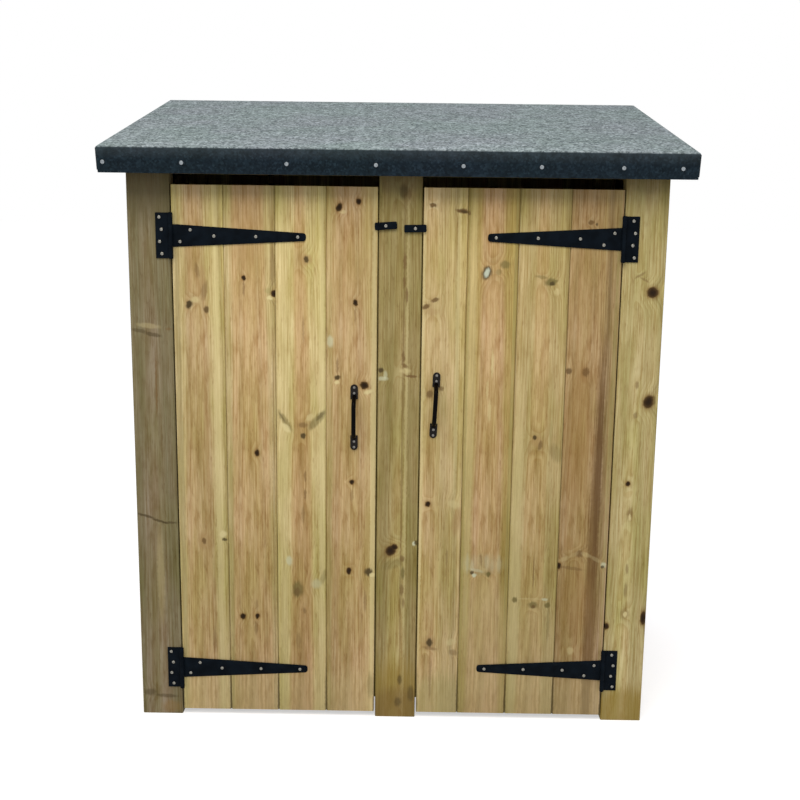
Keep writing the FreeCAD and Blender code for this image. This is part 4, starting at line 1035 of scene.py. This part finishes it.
# Turn buttons: two flat steel bars with clipped corners that turn on a screw in the centre post, over a
# washer. They are enamelled like the hinges and hold the doors shut across their top corners.
BUTTON_LONG, BUTTON_WIDE, BUTTON_THICK, BUTTON_CLIP = 49 * MM, 16.5 * MM, 3 * MM, 2.5 * MM
BUTTON_TILT = {"left": math.radians(4), "right": math.radians(1.5)}
for side, tilt in BUTTON_TILT.items():
    node = side + "_turn_button"
    low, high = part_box(node)
    half = Vector((BUTTON_LONG, 0, BUTTON_WIDE)) / 2
    bar = block(node + "_enamelled", -half, half + Y * BUTTON_THICK)
    pick(bar, "EDGE", lambda middle, way: abs(way.y) > 0.9)
    bpy.ops.mesh.bevel(offset=BUTTON_CLIP, segments=3, affect="EDGES")
    ease(bar, LEAF_ARRIS)
    lean = Matrix.Rotation(-tilt, 3, Y)
    middle = (low + high) / 2
    set_down(bar, lean @ X, Y, lean @ Z, Vector((middle.x, low.y, middle.z)))
    bar.data.materials.append(hinge_enamel)
    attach(bar, node)
    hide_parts(node)
wear("turn_button_washers", bright_zinc)
drive("turn_button_screws", SCREW_HEAD, SCREW_HEIGHT, RECESS_LONG, bright_zinc, "carcass")


# Pull handles: a forged round grip bent out from two flat pads, enamelled black like the hinges.
# The pads are painted a little greyer, a painted reflection of the sky, and each takes two small dull plated
# screws.
HANDLE_LONG, HANDLE_REACH, GRIP = 152 * MM, 36 * MM, 10 * MM
PAD_LONG, PAD_WIDE, PAD_THICK = 34 * MM, 17 * MM, 2.5 * MM
PAD_FLAT = 0.1 * MM
LEG_LEAN, BEND = 13 * MM, 15 * MM
FOOT_INSET = 6 * MM
GRIP_SIDES, PAD_STEPS, BEND_STEPS = 20, 6, 8
HANDLE_TILT = {"left": 0.0, "right": math.radians(2.5)}
HANDLE_SCREW_HEAD, HANDLE_SCREW_HEIGHT, HANDLE_RECESS = 6.4 * MM, 1.4 * MM, 3.4 * MM
handle_enamel = black_enamel("handle_enamel", "#060404", 0.3, 0.04)
# The pads' greyer enamel is a painted reflection of the sky on their flat faces.
pad_sheen_enamel = black_enamel("pad_sheen_enamel", "#1e1b19", 0.4, 0.1)
dull_zinc = zinc("dulled_zinc_plate", "#8f8c86", 0.4, 0.12)
for side, tilt in HANDLE_TILT.items():
    node = side + "_handle"
    low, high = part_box(node)
    end = HANDLE_LONG / 2
    pads = []
    for way in (1, -1):
        heights = sorted((way * (end - PAD_LONG), way * end))
        pad = block("pad", Vector((-PAD_WIDE / 2, -PAD_THICK, heights[0])),
                    Vector((PAD_WIDE / 2, 0, heights[1])))
        pick(pad, "EDGE", lambda middle, line: abs(line.y) > 0.9 and middle.z * way > end - TINY)
        bpy.ops.mesh.bevel(offset=PAD_WIDE / 2 - PAD_FLAT, segments=PAD_STEPS, affect="EDGES")
        ease(pad, LEAF_ARRIS)
        pad.data.materials.append(pad_sheen_enamel)
        pads.append(pad)
    foot = Vector((0, 0, end - PAD_LONG + FOOT_INSET))
    out = HANDLE_REACH - GRIP / 2
    leg = Vector((0, -out, -LEG_LEAN))
    turn = math.pi / 2 - math.atan2(LEG_LEAN, out)
    tangent = BEND * math.tan(turn / 2)
    corner = foot + leg
    bend_start = corner - leg.normalized() * tangent
    bend_end = corner - Z * tangent
    centre = bend_end + Y * BEND
    bpy.ops.object.select_all(action="DESELECT")
    bpy.ops.mesh.primitive_circle_add(vertices=GRIP_SIDES, radius=GRIP / 2, location=foot, fill_type="NGON",
                                      rotation=(math.pi / 2 + math.atan2(LEG_LEAN, out), 0, 0))
    bow = bpy.context.object
    bpy.ops.object.transform_apply(location=True, rotation=True, scale=True)
    bpy.ops.object.mode_set(mode="EDIT")
    bpy.ops.mesh.select_all(action="SELECT")
    bpy.ops.mesh.extrude_region_move(TRANSFORM_OT_translate={"value": bend_start - foot})
    bpy.ops.mesh.spin(steps=BEND_STEPS, angle=-turn, center=centre, axis=(1, 0, 0))
    bpy.ops.mesh.extrude_region_move(TRANSFORM_OT_translate={"value": (0, 0, -2 * bend_end.z)})
    bpy.ops.mesh.spin(steps=BEND_STEPS, angle=-turn, center=(0, centre.y, -centre.z), axis=(1, 0, 0))
    back = (0, -bend_start.y, bend_start.z - foot.z)
    bpy.ops.mesh.extrude_region_move(TRANSFORM_OT_translate={"value": back})
    bpy.ops.mesh.select_all(action="SELECT")
    bpy.ops.mesh.remove_doubles(threshold=TINY)
    bpy.ops.mesh.normals_make_consistent(inside=False)
    bpy.ops.object.mode_set(mode="OBJECT")
    bpy.ops.object.shade_smooth_by_angle(angle=SMOOTH_TO)
    bow.data.materials.append(handle_enamel)
    handle = joined([bow] + pads, node + "_forged")
    lean = Matrix.Rotation(tilt, 3, Y)
    middle = (low + high) / 2
    set_down(handle, lean @ X, Y, lean @ Z, Vector((middle.x, high.y, middle.z)))
    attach(handle, side + "_door")
    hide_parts(node)
    drive(node + "_screws", HANDLE_SCREW_HEAD, HANDLE_SCREW_HEIGHT, HANDLE_RECESS, dull_zinc, side + "_door")


# Ground, light and camera: a white studio floor and sky, one broad soft lamp above the front, and a camera
# at chest height, looking slightly down. None of it is part of the store.
FLOOR_SIZE = 60
SKY_LEVEL = 0.8
FLOOR_GLOW = 0.52
LAMP_PLACE, LAMP_TURN = (-0.5, -2.3, 4.4), (math.radians(30), 0, math.radians(-10))
LAMP_WIDE, LAMP_DEEP, LAMP_POWER = 3.5, 2.5, 130
CAMERA_PLACE = (0.0305, -2.8108, 1.2550)
CAMERA_DOWN, CAMERA_ASIDE, CAMERA_ROLL = math.radians(10.988), math.radians(-0.444), math.radians(0.716)
CAMERA_LENS, CAMERA_SENSOR = 50.2, 36.0
CAMERA_NEAR, CAMERA_FAR = 0.05, 200


def seen_directly(tree):
    """One where a camera, mirror or glass ray meets a surface, nought for the rays that light the store."""
    path = add(tree, "LightPath", {})
    seen = path.outputs["Is Camera Ray"]
    for ray in ("Is Glossy Ray", "Is Transmission Ray"):
        seen = add(tree, "Math", {0: seen, 1: path.outputs[ray]}, operation="MAXIMUM")
    return seen


world = bpy.data.worlds.new("white_studio")
bpy.context.scene.world = world
world.use_nodes = True
sky = world.node_tree
sky.nodes.clear()
lit = add(sky, "Background", {"Color": linear("#f6f8ff"), "Strength": SKY_LEVEL})
shown = add(sky, "Background", {"Color": linear("#ffffff"), "Strength": 1.0})
both = add(sky, "MixShader", {0: seen_directly(sky), 1: lit, 2: shown})
add(sky, "OutputWorld", {"Surface": both})

bpy.ops.object.select_all(action="DESELECT")
bpy.ops.mesh.primitive_plane_add(size=FLOOR_SIZE)
ground = bpy.context.object
ground.name = "studio_floor"
paper, tree = new_material("white_studio_paper")
matt = add(tree, "BsdfDiffuse", {"Color": linear("#d4d4d4")})
level = add(tree, "Math", {0: seen_directly(tree), 1: FLOOR_GLOW}, operation="MULTIPLY")
glow = add(tree, "Emission", {"Color": linear("#ffffff"), "Strength": level})
whole = add(tree, "AddShader", {0: matt, 1: glow})
add(tree, "OutputMaterial", {"Surface": whole})
ground.data.materials.append(paper)

bpy.ops.object.light_add(type="AREA", location=LAMP_PLACE, rotation=LAMP_TURN)
lamp = bpy.context.object
lamp.name = "softbox"
lamp.data.shape = "RECTANGLE"
lamp.data.size, lamp.data.size_y = LAMP_WIDE, LAMP_DEEP
lamp.data.energy = LAMP_POWER
lamp.data.color = linear("#fff8ee")[:3]

bpy.ops.object.camera_add()
camera = bpy.context.object
camera.name = "photo_camera"
aim = Matrix.Rotation(-CAMERA_ASIDE, 4, "Z") @ Matrix.Rotation(math.pi / 2 - CAMERA_DOWN, 4, "X")
camera.matrix_world = Matrix.Translation(CAMERA_PLACE) @ aim @ Matrix.Rotation(CAMERA_ROLL, 4, "Z")
camera.data.sensor_width = CAMERA_SENSOR
camera.data.lens = CAMERA_LENS
camera.data.clip_start, camera.data.clip_end = CAMERA_NEAR, CAMERA_FAR
bpy.context.scene.camera = camera
bpy.context.scene.view_settings.view_transform = "Standard"
